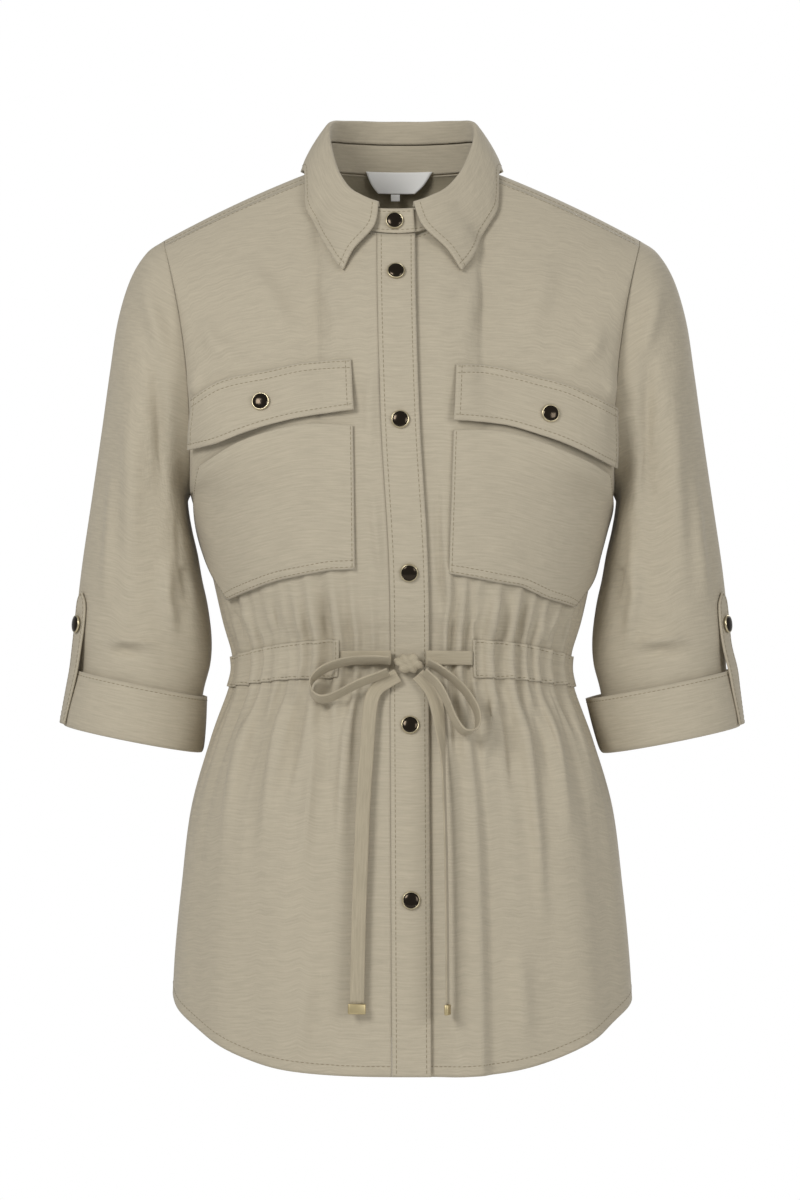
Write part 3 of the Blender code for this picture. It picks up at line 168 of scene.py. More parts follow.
# %% Curves
def smooth(table, at, column=1):
    """A smooth curve through one column of a table, by the value in its first column."""
    xs = np.array([row[0] for row in table], float)
    ys = np.array([row[column] for row in table], float)
    if xs[0] > xs[-1]:
        xs, ys = xs[::-1], ys[::-1]
    slopes = np.gradient(ys, xs)
    at = np.clip(np.asarray(at, float), xs[0], xs[-1])
    i = np.clip(np.searchsorted(xs, at, side="right") - 1, 0, len(xs) - 2)
    h = xs[i + 1] - xs[i]
    w = (at - xs[i]) / h
    return ((1 + 2 * w) * (1 - w) ** 2 * ys[i] + w * (1 - w) ** 2 * h * slopes[i]
            + w * w * (3 - 2 * w) * ys[i + 1] - w * w * (1 - w) * h * slopes[i + 1])


def ease(w):
    """0 to 1 with flat ends."""
    w = np.clip(w, 0.0, 1.0)
    return w * w * (3 - 2 * w)


def points(x, y, z):
    """Points from x, y and z, each a number or an array."""
    return np.stack(np.broadcast_arrays(x, y, z), axis=-1).astype(float)


print("a third of the way in, the smooth step is at", round(float(ease(1 / 3)), 2))

# %% [markdown]
# The trunk is a stack of level sections, each a rounded oval with its own width and depths. The armhole
# is a tilted loop at the side. They give every point below the chest, and edges for the part above it.

# %% Sections and armhole
LEVEL_CURVES = {name: tuple((i, row[k + 1]) for i, row in enumerate(LEVELS))
                for k, name in enumerate(("z_front", "z_side", "z_back", "half_w", "y_front", "y_back"))}


def section(face, angle, level):
    """A point of the body's level section; the angle runs from centre front or back to the side."""
    sine = np.sin(np.radians(angle))
    half_w = smooth(LEVEL_CURVES["half_w"], level)
    depth = smooth(LEVEL_CURVES["y_" + face], level)
    middle = smooth(LEVEL_CURVES["z_" + face], level)
    side = smooth(LEVEL_CURVES["z_side"], level)
    rise = np.abs(sine) ** HEM_RISE
    across = np.clip(1 - np.abs(sine) ** ROUNDNESS, 0, 1) ** (1 / ROUNDNESS)
    return points(half_w * sine, depth * across, middle + (side - middle) * rise)


def armhole(phi):
    """The armhole loop: 0 degrees at the tip, 90 in front, 180 at the armpit."""
    phi = np.radians(phi)
    mid = [(a + b) / 2 for a, b in zip(ARMHOLE_TIP, ARMPIT)]
    half = [(a - b) / 2 for a, b in zip(ARMHOLE_TIP, ARMPIT)]
    bow = ARMHOLE_BOW * np.sin(phi) ** 2
    return points(mid[0] + half[0] * np.cos(phi) - bow,
                  mid[1] - ARMHOLE_HALF_DEPTH * np.sin(phi) + half[1] * np.cos(phi),
                  mid[2] + half[2] * np.cos(phi))


print("the chest is", round(2 * float(section("front", 90.0, 0.0)[0])), "mm wide")

# %% [markdown]
# Above the chest the cloth runs up to a top edge made of the neckline and the shoulder seam. On this
# jacket the seam lies in front of the ridge, so the back comes over the shoulder. Both panels take their
# edge from the same function, so that the seam closes by itself.

# %% Neckline and shoulder
def neck(turn, curve, half, front, back):
    """A ring round the neck at one of the heights of NECK_HEIGHTS, turned from centre front."""
    angle = np.radians(turn)
    depth = np.where(np.cos(angle) > 0, front, back)
    return points(half * np.sin(angle), -depth * np.cos(angle), smooth(NECK_HEIGHTS, turn, curve))


SEAM_TURN = 78.0            # the shoulder seam meets the neckline here
RIDGE_OUT = 6.0             # the row below the back neckline lies this far outside it
RIDGE_BACK = 7.0            # and this far behind it
RIDGE_DROP = (13.0, 1.5)    # and below it, at centre back and at the corner
RIDGE_BOW = 2.5             # the shoulder rises by this over a straight line


def top_front(angle):
    """The top edge of a front: the neckline, then the shoulder seam."""
    corner = neck(SEAM_TURN, 1, NECK_HALF, NECK_FRONT, NECK_BACK)
    tip = armhole(SEAM_ANGLE)
    share = np.clip(np.sin(np.radians(angle)) / math.sin(math.radians(NECK_COLUMN)), 0, 1)
    turn = np.degrees(np.arcsin(share * math.sin(math.radians(SEAM_TURN))))
    along = shoulder_share(angle)[..., None]
    bow = points(0, 0, RIDGE_BOW * 4 * along[..., 0] * (1 - along[..., 0]))
    return np.where(along > 0, corner + (tip - corner) * along + bow,
                    neck(turn, 1, NECK_HALF, NECK_FRONT, NECK_BACK))


def shoulder_share(angle):
    """How far out along the shoulder a column lies: 0 at the neck, 1 at the tip."""
    low = math.sin(math.radians(NECK_COLUMN))
    return np.clip((np.sin(np.radians(angle)) - low) / (1 - low), 0, 1)


def ridge(angle):
    """The row over the shoulder's ridge, and below the neckline behind it."""
    corner = neck(90.0, 1, NECK_HALF + RIDGE_OUT, NECK_FRONT, NECK_BACK + RIDGE_BACK)
    corner = corner - points(0, 0, RIDGE_DROP[1])
    share = np.clip(np.asarray(angle, float) / NECK_COLUMN, 0, 1)
    behind = neck(180.0 - 90.0 * share, 1, NECK_HALF + RIDGE_OUT, NECK_FRONT,
                  NECK_BACK + RIDGE_BACK)
    behind = behind - points(0, 0, RIDGE_DROP[0] + (RIDGE_DROP[1] - RIDGE_DROP[0]) * share)
    along = shoulder_share(angle)[..., None]
    bow = points(0, 0, RIDGE_BOW * 4 * along[..., 0] * (1 - along[..., 0]))
    return np.where(along > 0, corner + (armhole(0.0) - corner) * along + bow, behind)


def top_back(angle):
    """The top edge of the back: the back neckline, then the same shoulder seam."""
    share = np.clip(np.asarray(angle, float) / NECK_COLUMN, 0, 1)
    behind = neck(180.0 - (180.0 - SEAM_TURN) * share, 1, NECK_HALF, NECK_FRONT, NECK_BACK)
    return np.where(shoulder_share(angle)[..., None] > 0, top_front(angle), behind)


seam_ends = (neck(SEAM_TURN, 1, NECK_HALF, NECK_FRONT, NECK_BACK), armhole(SEAM_ANGLE))
print("the shoulder seam is", round(float(np.linalg.norm(seam_ends[1] - seam_ends[0]))), "mm long")

# %% [markdown]
# Four edges now surround the upper part: chest, centre line, armhole and top. A patch blended from its
# edges (a Coons patch) fills the space. It needs no points inside, and it meets its edges exactly,
# which is what a seam asks for.

# %% The whole body
STRIP_BOW = 1.5             # how far the strip over the shoulder's ridge stands up in its middle


def patch(face, angle, up):
    """The body above the chest: a patch between chest section, centre line, top edge and armhole."""
    angle, up = np.broadcast_arrays(np.asarray(angle, float), np.asarray(up, float))
    centre = CENTRE_FRONT if face == "front" else CENTRE_BACK
    top = top_front if face == "front" else ridge
    last = 180.0 - SEAM_ANGLE if face == "front" else 180.0
    phi = 180.0 - last * up if face == "front" else -180.0 + last * up
    a = ease(angle / 90.0)[..., None]
    b = ease(up)[..., None]
    low, high = section(face, angle, 0.0), top(angle)
    left = points(0.0, smooth(centre, up, 1), smooth(centre, up, 2))
    right = armhole(phi)
    low0, low1 = section(face, 0.0, 0.0), armhole(180.0)
    high0, high1 = top(0.0), top(90.0)
    corners = ((1 - a) * ((1 - b) * low0 + b * high0) + a * ((1 - b) * low1 + b * high1))
    return (1 - b) * low + b * high + (1 - a) * left + a * right - corners


def form(face, angle, level):
    """A point of the smooth body, on the wearer's left half; negative angles cross the middle."""
    angle, level = np.broadcast_arrays(np.asarray(angle, float), np.asarray(level, float))
    turned = np.abs(angle)
    lower = section(face, turned, np.maximum(level, 0.0))
    upper = patch(face, turned, np.clip(-level, 0.0, 1.0))
    result = np.where(level[..., None] >= 0, lower, upper)
    if face == "back":
        w = np.clip(-level - 1.0, 0.0, 1.0)[..., None]
        strip = (1 - w) * ridge(turned) + w * top_back(turned)
        strip = strip + points(0, 0, STRIP_BOW * 4 * w[..., 0] * (1 - w[..., 0]))
        result = np.where(level[..., None] < -1, strip, result)
    result[..., 0] *= np.where(angle < 0, -1.0, 1.0)
    return result


print("centre front at the chest:", form("front", 0.0, 0.0).round(1))

# %% [markdown]
# Thickness, folds and gathers all move a point square to the cloth, so its outward direction comes next.
# Folds are sums of low hills along columns of points. Their heights and spacing are uneven, because
# cloth that is drawn up by a cord never folds evenly.

# %% Outward direction
SMALL_TURN, SMALL_STEP = 0.4, 0.04     # steps along the body in degrees and levels, inwards at its ends


def slope(face, angle, level):
    """The direction square to the smooth body, from two small steps along it."""
    angle, level = np.broadcast_arrays(np.asarray(angle, float), np.asarray(level, float))
    da = np.where(angle > 45.0, -SMALL_TURN, SMALL_TURN)
    dl = np.where(level > 8.9, -SMALL_STEP, SMALL_STEP)
    here = form(face, angle, level)
    across = (form(face, angle + da, level) - here) / da[..., None]
    down = (form(face, angle, level + dl) - here) / dl[..., None]
    n = np.cross(down, across) if face == "front" else np.cross(across, down)
    return n / np.linalg.norm(n, axis=-1, keepdims=True)


def outward(face, angle, level):
    """The body's outward direction; both sides of the shoulder seam share the mean of theirs."""
    n = slope(face, angle, level)
    seam = -0.999 if face == "front" else -1.999
    mean = slope("front", angle, np.full(np.shape(n)[:-1], -1.0))
    mean = mean + slope("back", angle, np.full(np.shape(n)[:-1], -2.0))
    mean = mean / np.linalg.norm(mean, axis=-1, keepdims=True)
    at_seam = (np.asarray(level) <= seam) & (np.asarray(angle) > NECK_COLUMN - 0.01)
    return np.where(np.broadcast_to(at_seam, np.shape(n)[:-1])[..., None], mean, n)


def column_angle(face, column, level, edge=PLACKET_HALF):
    """The section angle of a column of points; a front's first column runs beside the closure."""
    half_w = smooth(LEVEL_CURVES["half_w"], np.maximum(level, 0.0))
    start = np.degrees(np.arcsin(edge / half_w)) if face == "front" else 0.0
    inner = start + (NECK_COLUMN - start) * np.asarray(column, float) / NECK_INDEX
    outer = NECK_COLUMN + (90.0 - NECK_COLUMN) * (column - NECK_INDEX) / (COLUMNS - NECK_INDEX)
    return np.where(np.asarray(column) <= NECK_INDEX, inner, outer)


print("outward at the middle of the chest:", outward("front", 0.0, 0.0).round(2))

# %% Folds and skin
UNEVEN = ((0.35, 2.4), (0.25, 5.1))    # share and pace of the two waves that vary the gathers' depth
CREST = 1.6                 # how far the gathers' crests reach, as a multiple of their depth
DRIFT_REACH = (120.0, 60.0)  # how far the closure's drift reaches to the side and to the back


def fold(face, side, column, level):
    """How far folds and gathers push the cloth out, with their depths and spacing uneven."""
    column, level = np.broadcast_arrays(np.asarray(column, float), np.asarray(level, float))
    inset = ease((COLUMNS - column) / 3.0)
    seed = 1.7 * side + (3.1 if face == "back" else 0.0)
    (share, pace), (more, faster) = UNEVEN
    uneven = 1 + inset * (share * np.sin(pace * column + seed) + more * np.sin(faster * column + 2 * seed))
    start = ease(column / 2.5) if face == "front" else 1.0
    push = smooth(GATHER_DEPTH, level) * uneven * start * np.cos(math.pi * column)
    for fold_side, fold_face, c_top, c_hem, height, width, top_level in SKIRT_FOLDS:
        if fold_side != side or fold_face != face:
            continue
        down = np.clip((level - top_level) / (9.0 - top_level), 0, 1)
        centre = c_top + (c_hem - c_top) * down
        push = push + height * ease(down * 2.2) * np.exp(-((column - centre) / width) ** 2) * inset
    if face == "front" and side > 0:
        down = ease((level - 3.6) / 3.0)
        push = push + STEP_HEIGHT * down * start * (1 - ease((column - STEP_COLUMN + 0.6) / 1.2))
    return push


def skin(face, side, column, level, lift=0.0, edge=PLACKET_HALF, over=False):
    """A point of a body panel, folds included, lifted along the outward direction.

    A piece that bridges the gathers is asked for with over, and clears their crests instead.
    """
    angle = column_angle(face, column, level, edge)
    n = outward(face, angle, level)
    crests = CREST * smooth(GATHER_DEPTH, level)
    push = (crests if over else fold(face, side, column, level)) + lift
    p = form(face, angle, level) + n * push[..., None]
    p[..., 1] += -SEAM_GAP / 2 if face == "front" else SEAM_GAP / 2
    return finish(p, side)


def finish(p, side):
    """Mirror to the wearer's right where asked, and let the closure drift from the middle."""
    p = p.copy()
    p[..., 0] *= side
    fade = ease(1 - np.abs(p[..., 0]) / DRIFT_REACH[0]) * ease(-p[..., 1] / DRIFT_REACH[1])
    p[..., 0] += smooth(CLOSURE_DRIFT, p[..., 2]) * fade
    return p


def strip_at(x, level, lift=0.0):
    """A point of the front beside the middle line, by its distance from that line."""
    x, level = np.broadcast_arrays(np.asarray(x, float), np.asarray(level, float))
    half_w = smooth(LEVEL_CURVES["half_w"], np.maximum(level, 0.0))
    angle = np.degrees(np.arcsin(np.abs(x) / half_w))
    n = outward("front", angle, level)
    p = form("front", angle, level) + n * np.asarray(lift, float)[..., None]
    p[..., 0] *= np.where(x < 0, -1.0, 1.0)
    return finish(p, 1)


print("the closure's foot is at x =", round(float(strip_at(0.0, 9.0)[0]), 1), "mm")

# %% [markdown]
# Pockets, flaps and the collar's points are known by where they show from the front. A few Newton steps
# find the panel's point that shows at a given x and z, which is exact and works on folded cloth too.

# %% Places on the front
FIRST_GUESS = (12.0, -0.2)  # column and level of the chest pocket's upper edge
NEWTON_STEPS = 9
PROBE = (0.02, 0.01)        # column and level steps that measure the slopes
LONGEST = (2.0, 0.3)        # and the longest that a step may be


def front_place(side, x, z):
    """The column and level of the front's point that shows at x and z, by a few Newton steps."""
    column, level = (np.full(np.shape(x), value) for value in FIRST_GUESS)
    for _ in range(NEWTON_STEPS):
        here = skin("front", side, column, level)
        dc = (skin("front", side, column + PROBE[0], level) - here) / PROBE[0]
        dl = (skin("front", side, column, level + PROBE[1]) - here) / PROBE[1]
        ex, ez = x - here[..., 0], z - here[..., 2]
        det = dc[..., 0] * dl[..., 2] - dl[..., 0] * dc[..., 2]
        column = column + np.clip((ex * dl[..., 2] - ez * dl[..., 0]) / det, -LONGEST[0], LONGEST[0])
        level = level + np.clip((ez * dc[..., 0] - ex * dc[..., 2]) / det, -LONGEST[1], LONGEST[1])
        column = np.clip(column, 0.0, COLUMNS)
        level = np.clip(level, -1.0, 9.0)
    return column, level


def sheet_normals(grid):
    """Directions square to a grid of points, from its neighbours' differences."""
    n = np.cross(np.gradient(grid, axis=0), np.gradient(grid, axis=1))
    return n / np.linalg.norm(n, axis=-1, keepdims=True)


def on_front(side, x, z, lift):
    """Points over a front that show at x and z, lifted clear of its gathers."""
    column, level = front_place(side, x, z)
    return skin("front", side, column, level, lift, over=True)


print("over the left chest:", on_front(1, np.array([100.0]), np.array([-200.0]), 0.0)[0].round(1))

# %% [markdown]
# Colours are read off the picture as sRGB hex values. Light adds up in linear values, so one function
# turns them. Another adds a shader node with its settings and links, so that a material reads as a list.

# %% Helpers for materials
def linear(code):
    """A hex colour as linear red, green, blue and alpha."""
    values = [int(code[i:i + 2], 16) / 255 for i in (1, 3, 5)]
    return [c / 12.92 if c <= 0.04045 else ((c + 0.055) / 1.055) ** 2.4 for c in values] + [1.0]


def add(tree, kind, settings=None, values=None, links=None):
    """Adds a node: its settings, the constants of its sockets, and the links into them."""
    node = tree.nodes.new(kind)
    for key, value in (settings or {}).items():
        setattr(node, key, value)
    for key, value in (values or {}).items():
        node.inputs[key].default_value = value
    for key, source in (links or {}).items():
        tree.links.new(source, node.inputs[key])
    return node


def new_material(name, **values):
    """A Principled material; the values are named for its sockets, with _ where they have a space."""
    made = bpy.data.materials.new(name)
    made.use_nodes = True
    shader = made.node_tree.nodes["Principled BSDF"]
    for key, value in values.items():
        shader.inputs[key.replace("_", " ")].default_value = value
    return made, made.node_tree, shader


print("khaki in linear light:", [round(c, 3) for c in linear("#B4AA95")])

# %% [markdown]
# The cloth is a light cotton twill, dyed khaki and washed soft. It gives the eye three things: thick
# places in the weft (slubs) as faint level streaks, a matt face with a little fuzz at grazing angles, and
# the soft crumples that washing leaves. Noise stretched along the weft makes the streaks, sheen the fuzz
# and a low bump the crumples. Threads as geometry would be far too fine to see from three metres.

# %% Cotton twill
# Slubs per metre along and across the weft: 22 mm long as on the real cloth, and 1.4 mm thick, which is
# three times the real thread, drawn so coarse that it shows
SLUB = (45.0, 700.0)
# Soft diagonal bands 14 mm apart: single twill lines, 0.5 mm apart, are too fine to show
TWILL_BANDS = 31.0
CRUMPLE = 70.0               # crumples per metre: 14 mm each
STREAK_AT = (0.30, 0.70)     # where the noise turns dark and light
WEAVE_DEPTH, SLUB_DEPTH, CRUMPLE_DEPTH = 0.0002, 0.0003, 0.0016     # in metres


def cotton(name, code, dark, light, crumple=1.0):
    """Cotton twill: slubby weft, soft bands and a soft crumple; its map is in metres."""
    made, tree, shader = new_material(name, Roughness=0.88, Sheen_Weight=0.12, Sheen_Roughness=0.5)
    uv = add(tree, "ShaderNodeUVMap").outputs["UV"]
    streaks = add(tree, "ShaderNodeVectorMath", {"operation": "MULTIPLY"}, {1: (*SLUB, 1.0)}, {0: uv})
    slub = add(tree, "ShaderNodeTexNoise", None, {"Scale": 1.0, "Detail": 3.0, "Roughness": 0.65},
               {"Vector": streaks.outputs[0]})
    ramp = add(tree, "ShaderNodeValToRGB", None, None, {"Fac": slub.outputs["Fac"]})
    base = linear(code)
    for stop, at, gain in zip(ramp.color_ramp.elements, STREAK_AT, (dark, light)):
        stop.position = at
        stop.color = [c * gain for c in base[:3]] + [1.0]
    tree.links.new(ramp.outputs["Color"], shader.inputs["Base Color"])
    lines = add(tree, "ShaderNodeTexWave", {"bands_direction": "DIAGONAL"},
                {"Scale": TWILL_BANDS, "Distortion": 0.6, "Detail": 1.0}, {"Vector": uv})
    soft = add(tree, "ShaderNodeTexNoise", None, {"Scale": CRUMPLE, "Detail": 4.0, "Roughness": 0.55},
               {"Vector": uv})
    weave = add(tree, "ShaderNodeBump", None, {"Strength": 0.25, "Distance": WEAVE_DEPTH},
                {"Height": lines.outputs["Fac"]})
    grain = add(tree, "ShaderNodeBump", None, {"Strength": 0.35, "Distance": SLUB_DEPTH},
                {"Height": slub.outputs["Fac"], "Normal": weave.outputs["Normal"]})
    bump = add(tree, "ShaderNodeBump", None, {"Strength": 0.5, "Distance": CRUMPLE_DEPTH * crumple},
               {"Height": soft.outputs["Fac"], "Normal": grain.outputs["Normal"]})
    tree.links.new(bump.outputs["Normal"], shader.inputs["Normal"])
    return made


# Woven and garment-washed: matt, warm grey-khaki, with faint level streaks
twill = cotton("khaki cotton twill", "#B4AA95", 0.90, 1.08)
# The back of the same weave shows more weft and is flatter; it is coloured darker as painted shade for the
# hollow inside of the jacket
twill_inside_painted_shade = cotton("khaki cotton twill, wrong side with painted shade", "#A0967F", 0.92, 1.06)
# Woven flat on a narrow loom: denser and darker than the twill, hardly crumpled
cord_cotton = cotton("khaki cotton tape", "#ABA089", 0.88, 1.08, 0.4)
print("three cottons: the cloth, its wrong side and the cord's tape")

# %% [markdown]
# The trim is sewing thread coloured a little darker than the cloth as painted shade of its stitch grooves,
# snap caps of brass under a dark lacquer that mirrors the studio, snap rims and cord ends with a pale
# plating (the ends brushed matt), and satin tape for the bare label. The metals keep the default IOR: colour
# and roughness alone tell them apart.

# %% Thread, metals and satin
# Spun and twisted: matt, and coloured a shade darker than the cloth as painted shade of the small grooves
# the stitches sit in, so that each stitch shows
thread = new_material("khaki sewing thread with painted groove shade", Base_Color=linear("#8A7F68"), Roughness=0.7)[0]
# Lacquer over brass: dark, and smooth enough for a sharp highlight
snap_cap = new_material("dark lacquered brass", Base_Color=linear("#3A332B"),
                        Metallic=1.0, Roughness=0.16)[0]
# Polished plating: a thin bright ring round the cap
snap_rim = new_material("pale plated brass", Base_Color=linear("#CBBF9F"),
                        Metallic=1.0, Roughness=0.3)[0]
# Brushed plating: a soft sheen with no clear reflection
tip_metal = new_material("matt pale gold plate", Base_Color=linear("#C9B98F"),
                         Metallic=1.0, Roughness=0.42)[0]
# Satin: smoother than the twill, with a light sheen
label_cloth = new_material("white satin tape", Base_Color=linear("#E9E8E4"),
                           Roughness=0.5, Sheen_Weight=0.2)[0]
print(len(bpy.data.materials), "materials")

# %% [markdown]
# A piece of cloth starts as the coarse grid of points that its solid has. refine() puts more rows and
# columns on smooth curves through them, so the cloth is round where the solid has flats. A subdivision
# modifier would do it too, but it pulls the edges away from their seams.

# %% Finer grids
def curve_through(values, at):
    """A smooth curve through rows of values at whole steps."""
    slopes = np.gradient(values, axis=0)
    i = np.clip(np.floor(at).astype(int), 0, len(values) - 2)
    w = (at - i).reshape((-1,) + (1,) * (values.ndim - 1))
    return ((1 + 2 * w) * (1 - w) ** 2 * values[i] + w * (1 - w) ** 2 * slopes[i]
            + w * w * (3 - 2 * w) * values[i + 1] - w * w * (1 - w) * slopes[i + 1])


def refine(grid, down, across, closed=False):
    """More rows and columns on the same curves; a closed grid runs round to its first column."""
    rows = len(grid)
    grid = curve_through(grid, np.linspace(0, rows - 1, (rows - 1) * down + 1))
    turned = np.swapaxes(grid, 0, 1)
    columns = len(turned)
    if closed:
        turned = np.concatenate([turned[-3:], turned, turned[:3]])
        turned = curve_through(turned, 3 + np.linspace(0, columns, columns * across + 1))
    else:
        turned = curve_through(turned, np.linspace(0, columns - 1, (columns - 1) * across + 1))
    return np.swapaxes(turned, 0, 1)


steps = curve_through(np.array([[0.0], [1.0], [4.0]]), np.array([0.5, 1.5]))
print("half-way points of a curve through 0, 1 and 4:", steps[:, 0])

# %% [markdown]
# Each crease that the picture shows is one stroke: a line of points at x and z, then a height and a
# width. The cloth is pushed out by its distance from the line, or in where the height is below zero.
# Noise would crumple the cloth all over; strokes put the long soft folds where arm and cord pull them.
# The back and the far sides get uneven strokes of the same kind and strength.

# %% Strokes of the front and the back
FRONT_STROKES = (
    (((-24, -233), (-19, -292), (-15, -327)), 1.6, 3.5),
    (((-21, -140), (-25, -185), (-24, -233)), 1.0, 5.0),
    (((27, -214), (28, -286), (30, -322), (34, -364)), -2.0, 2.6),
    (((31, -214), (33, -286), (36, -322), (40, -360)), 1.6, 3.0),
    (((-163, -247), (-149, -253)), -1.8, 2.5),
    (((155, -259), (166, -268)), -1.8, 2.5),
    (((-160, -110), (-146, -135), (-118, -152)), 1.6, 7.0),
    (((-166, -150), (-158, -178), (-150, -215)), 1.6, 5.0),
    (((158, -115), (148, -140), (120, -156)), 1.6, 7.0),
    (((166, -150), (160, -185), (156, -215)), 1.6, 5.0),
    (((-128, -60), (-105, -95), (-82, -140)), 1.4, 10.0),
    (((120, -58), (108, -95), (90, -140)), 1.4, 10.0),
    (((-66, -78), (-52, -110), (-48, -145)), 1.1, 8.0),
    (((62, -72), (52, -105), (47, -148)), 1.1, 8.0),
    (((-141, -335), (-130, -352), (-126, -374)), -2.4, 2.6),
    (((-128, -338), (-117, -352), (-112, -374)), 1.6, 3.6),
    (((-103, -330), (-98, -350), (-97, -372)), -1.8, 2.6),
    (((-84, -322), (-80, -345), (-80, -370)), 1.3, 4.0),
    (((-62, -318), (-58, -345), (-57, -368)), -1.5, 3.0),
    (((138, -338), (128, -354), (122, -375)), -2.4, 2.6),
    (((122, -342), (112, -358), (108, -374)), 1.8, 3.6),
    (((98, -330), (92, -350), (90, -372)), -1.9, 2.6),
    (((78, -326), (72, -345), (70, -370)), 1.3, 4.0),
    (((60, -322), (56, -345), (56, -368)), -1.4, 3.0),
    (((-43, -402), (-45, -450), (-51, -556)), 2.0, 4.0),
    (((-64, -404), (-70, -470), (-78, -557)), 2.2, 5.0),
    (((-54, -404), (-57, -440), (-60, -500)), -1.8, 3.6),
    (((-88, -406), (-97, -450), (-112, -540)), 2.0, 5.0),
    (((-76, -405), (-82, -440), (-92, -500)), -1.8, 3.8),
    (((-112, -407), (-126, -450), (-142, -530)), 1.8, 5.0),
    (((-100, -406), (-110, -440), (-124, -490)), -1.7, 3.6),
    (((-33, -400), (-36, -430), (-38, -480)), -1.5, 3.0),
    (((92, -403), (96, -440), (104, -520), (110, -600)), 2.2, 4.5),
    (((75, -403), (68, -425), (62, -470)), 2.0, 3.8),
    (((84, -405), (84, -440), (86, -500)), -1.8, 3.4),
    (((110, -406), (120, -450), (134, -540)), 2.0, 5.0),
    (((100, -405), (108, -440), (118, -490)), -1.8, 3.4),
    (((126, -408), (140, -450), (156, -520)), 1.7, 5.0),
    (((38, -398), (40, -430), (42, -470)), -1.5, 3.0),
    (((-70, -600), (-76, -650), (-80, -690)), 1.4, 8.0),
    (((88, -590), (92, -640), (94, -685)), 1.4, 8.0),
)
BACK_STROKES = (
    (((-64, -70), (-55, -160), (-46, -300)), 2.0, 13.0),
    (((58, -60), (54, -170), (50, -320)), 2.0, 12.0),
    (((-4, -110), (2, -200), (6, -310)), 1.4, 14.0),
    (((-156, -120), (-138, -160), (-104, -214)), 1.9, 7.0),
    (((152, -110), (140, -152), (112, -206)), 1.9, 7.0),
    (((-160, -190), (-140, -216), (-118, -250)), 1.6, 6.0),
    (((158, -184), (142, -214), (120, -246)), 1.6, 6.0),
    (((-134, -320), (-118, -345), (-112, -374)), -2.3, 3.0),
    (((-96, -306), (-88, -340), (-86, -372)), 1.8, 4.0),
    (((-62, -318), (-58, -345), (-57, -370)), -1.7, 3.0),
    (((-24, -300), (-22, -340), (-22, -370)), 1.5, 4.0),
    (((18, -314), (16, -345), (16, -370)), -1.6, 3.0),
    (((52, -320), (50, -345), (50, -370)), 1.6, 4.0),
    (((92, -310), (84, -340), (82, -372)), -1.8, 3.0),
    (((130, -322), (116, -348), (110, -374)), 2.2, 3.6),
    (((-116, -406), (-130, -450), (-146, -530)), 2.0, 5.0),
    (((-84, -404), (-92, -460), (-102, -580)), 2.2, 5.5),
    (((-48, -404), (-52, -450), (-56, -540)), -1.8, 4.5),
    (((-20, -404), (-20, -470), (-24, -600)), 2.0, 5.0),
    (((14, -404), (16, -440), (18, -520)), -1.8, 4.0),
    (((46, -404), (52, -470), (58, -610)), 2.2, 5.5),
    (((84, -404), (92, -440), (104, -520)), -1.9, 4.2),
    (((112, -406), (126, -460), (140, -560)), 2.1, 5.0),
)
print(len(FRONT_STROKES), "strokes in front and", len(BACK_STROKES), "behind")

# %% Strokes of the sleeves
SLEEVE_FRONT_STROKES = (
    (((-236, -371), (-222, -365), (-206, -366), (-190, -375)), 2.2, 3.6),
    (((-234, -378), (-218, -374), (-198, -379)), -1.6, 3.0),
    (((-183, -290), (-186, -330), (-178, -372)), 1.8, 5.0),
    (((-176, -256), (-172, -300), (-168, -350)), -2.0, 4.0),
    (((-214, -160), (-212, -240), (-216, -330)), 1.6, 8.0),
    (((-196, -130), (-190, -200), (-188, -270)), -1.6, 6.0),
    (((-226, -210), (-230, -280), (-236, -350)), 1.2, 5.0),
    (((-206, -75), (-196, -110), (-184, -150)), 1.4, 7.0),
    (((178, -372), (196, -366), (214, -364), (232, -370)), 2.2, 3.6),
    (((184, -380), (204, -374), (228, -378)), -1.6, 3.0),
    (((180, -286), (184, -330), (176, -376)), 1.8, 5.0),
    (((174, -262), (172, -305), (166, -352)), -2.0, 4.0),
    (((212, -150), (214, -240), (222, -336)), 1.6, 8.0),
    (((194, -126), (192, -200), (194, -280)), -1.6, 6.0),
    (((228, -216), (234, -290), (242, -350)), 1.2, 5.0),
    (((204, -78), (196, -114), (186, -152)), 1.4, 7.0),
)
SLEEVE_BACK_STROKES = (
    (((-216, -120), (-220, -220), (-226, -340)), 1.8, 8.0),
    (((-190, -150), (-188, -240), (-186, -340)), -1.8, 6.0),
    (((-232, -330), (-212, -352), (-180, -364)), 1.9, 5.0),
    (((-236, -262), (-216, -276), (-190, -282)), 1.6, 5.0),
    (((214, -124), (222, -226), (230, -344)), 1.8, 8.0),
    (((192, -146), (188, -250), (186, -336)), -1.8, 6.0),
    (((234, -326), (210, -350), (182, -362)), 1.9, 5.0),
    (((238, -256), (214, -274), (188, -278)), 1.6, 5.0),
)
print(len(SLEEVE_FRONT_STROKES), "strokes in front and", len(SLEEVE_BACK_STROKES), "behind")

# %% [markdown]
# The drawn cord crimps the cloth in small uneven waves that die out above and below the casing. Waves
# counted round the whole waist meet themselves again behind, so the cloth and the casing share them.

# %% Creases and gathers
TAPER = 0.42                 # the share of a stroke over which it fades in and out
BROAD = 5.5                  # narrower strokes than this are made less deep
FAR = 1e9


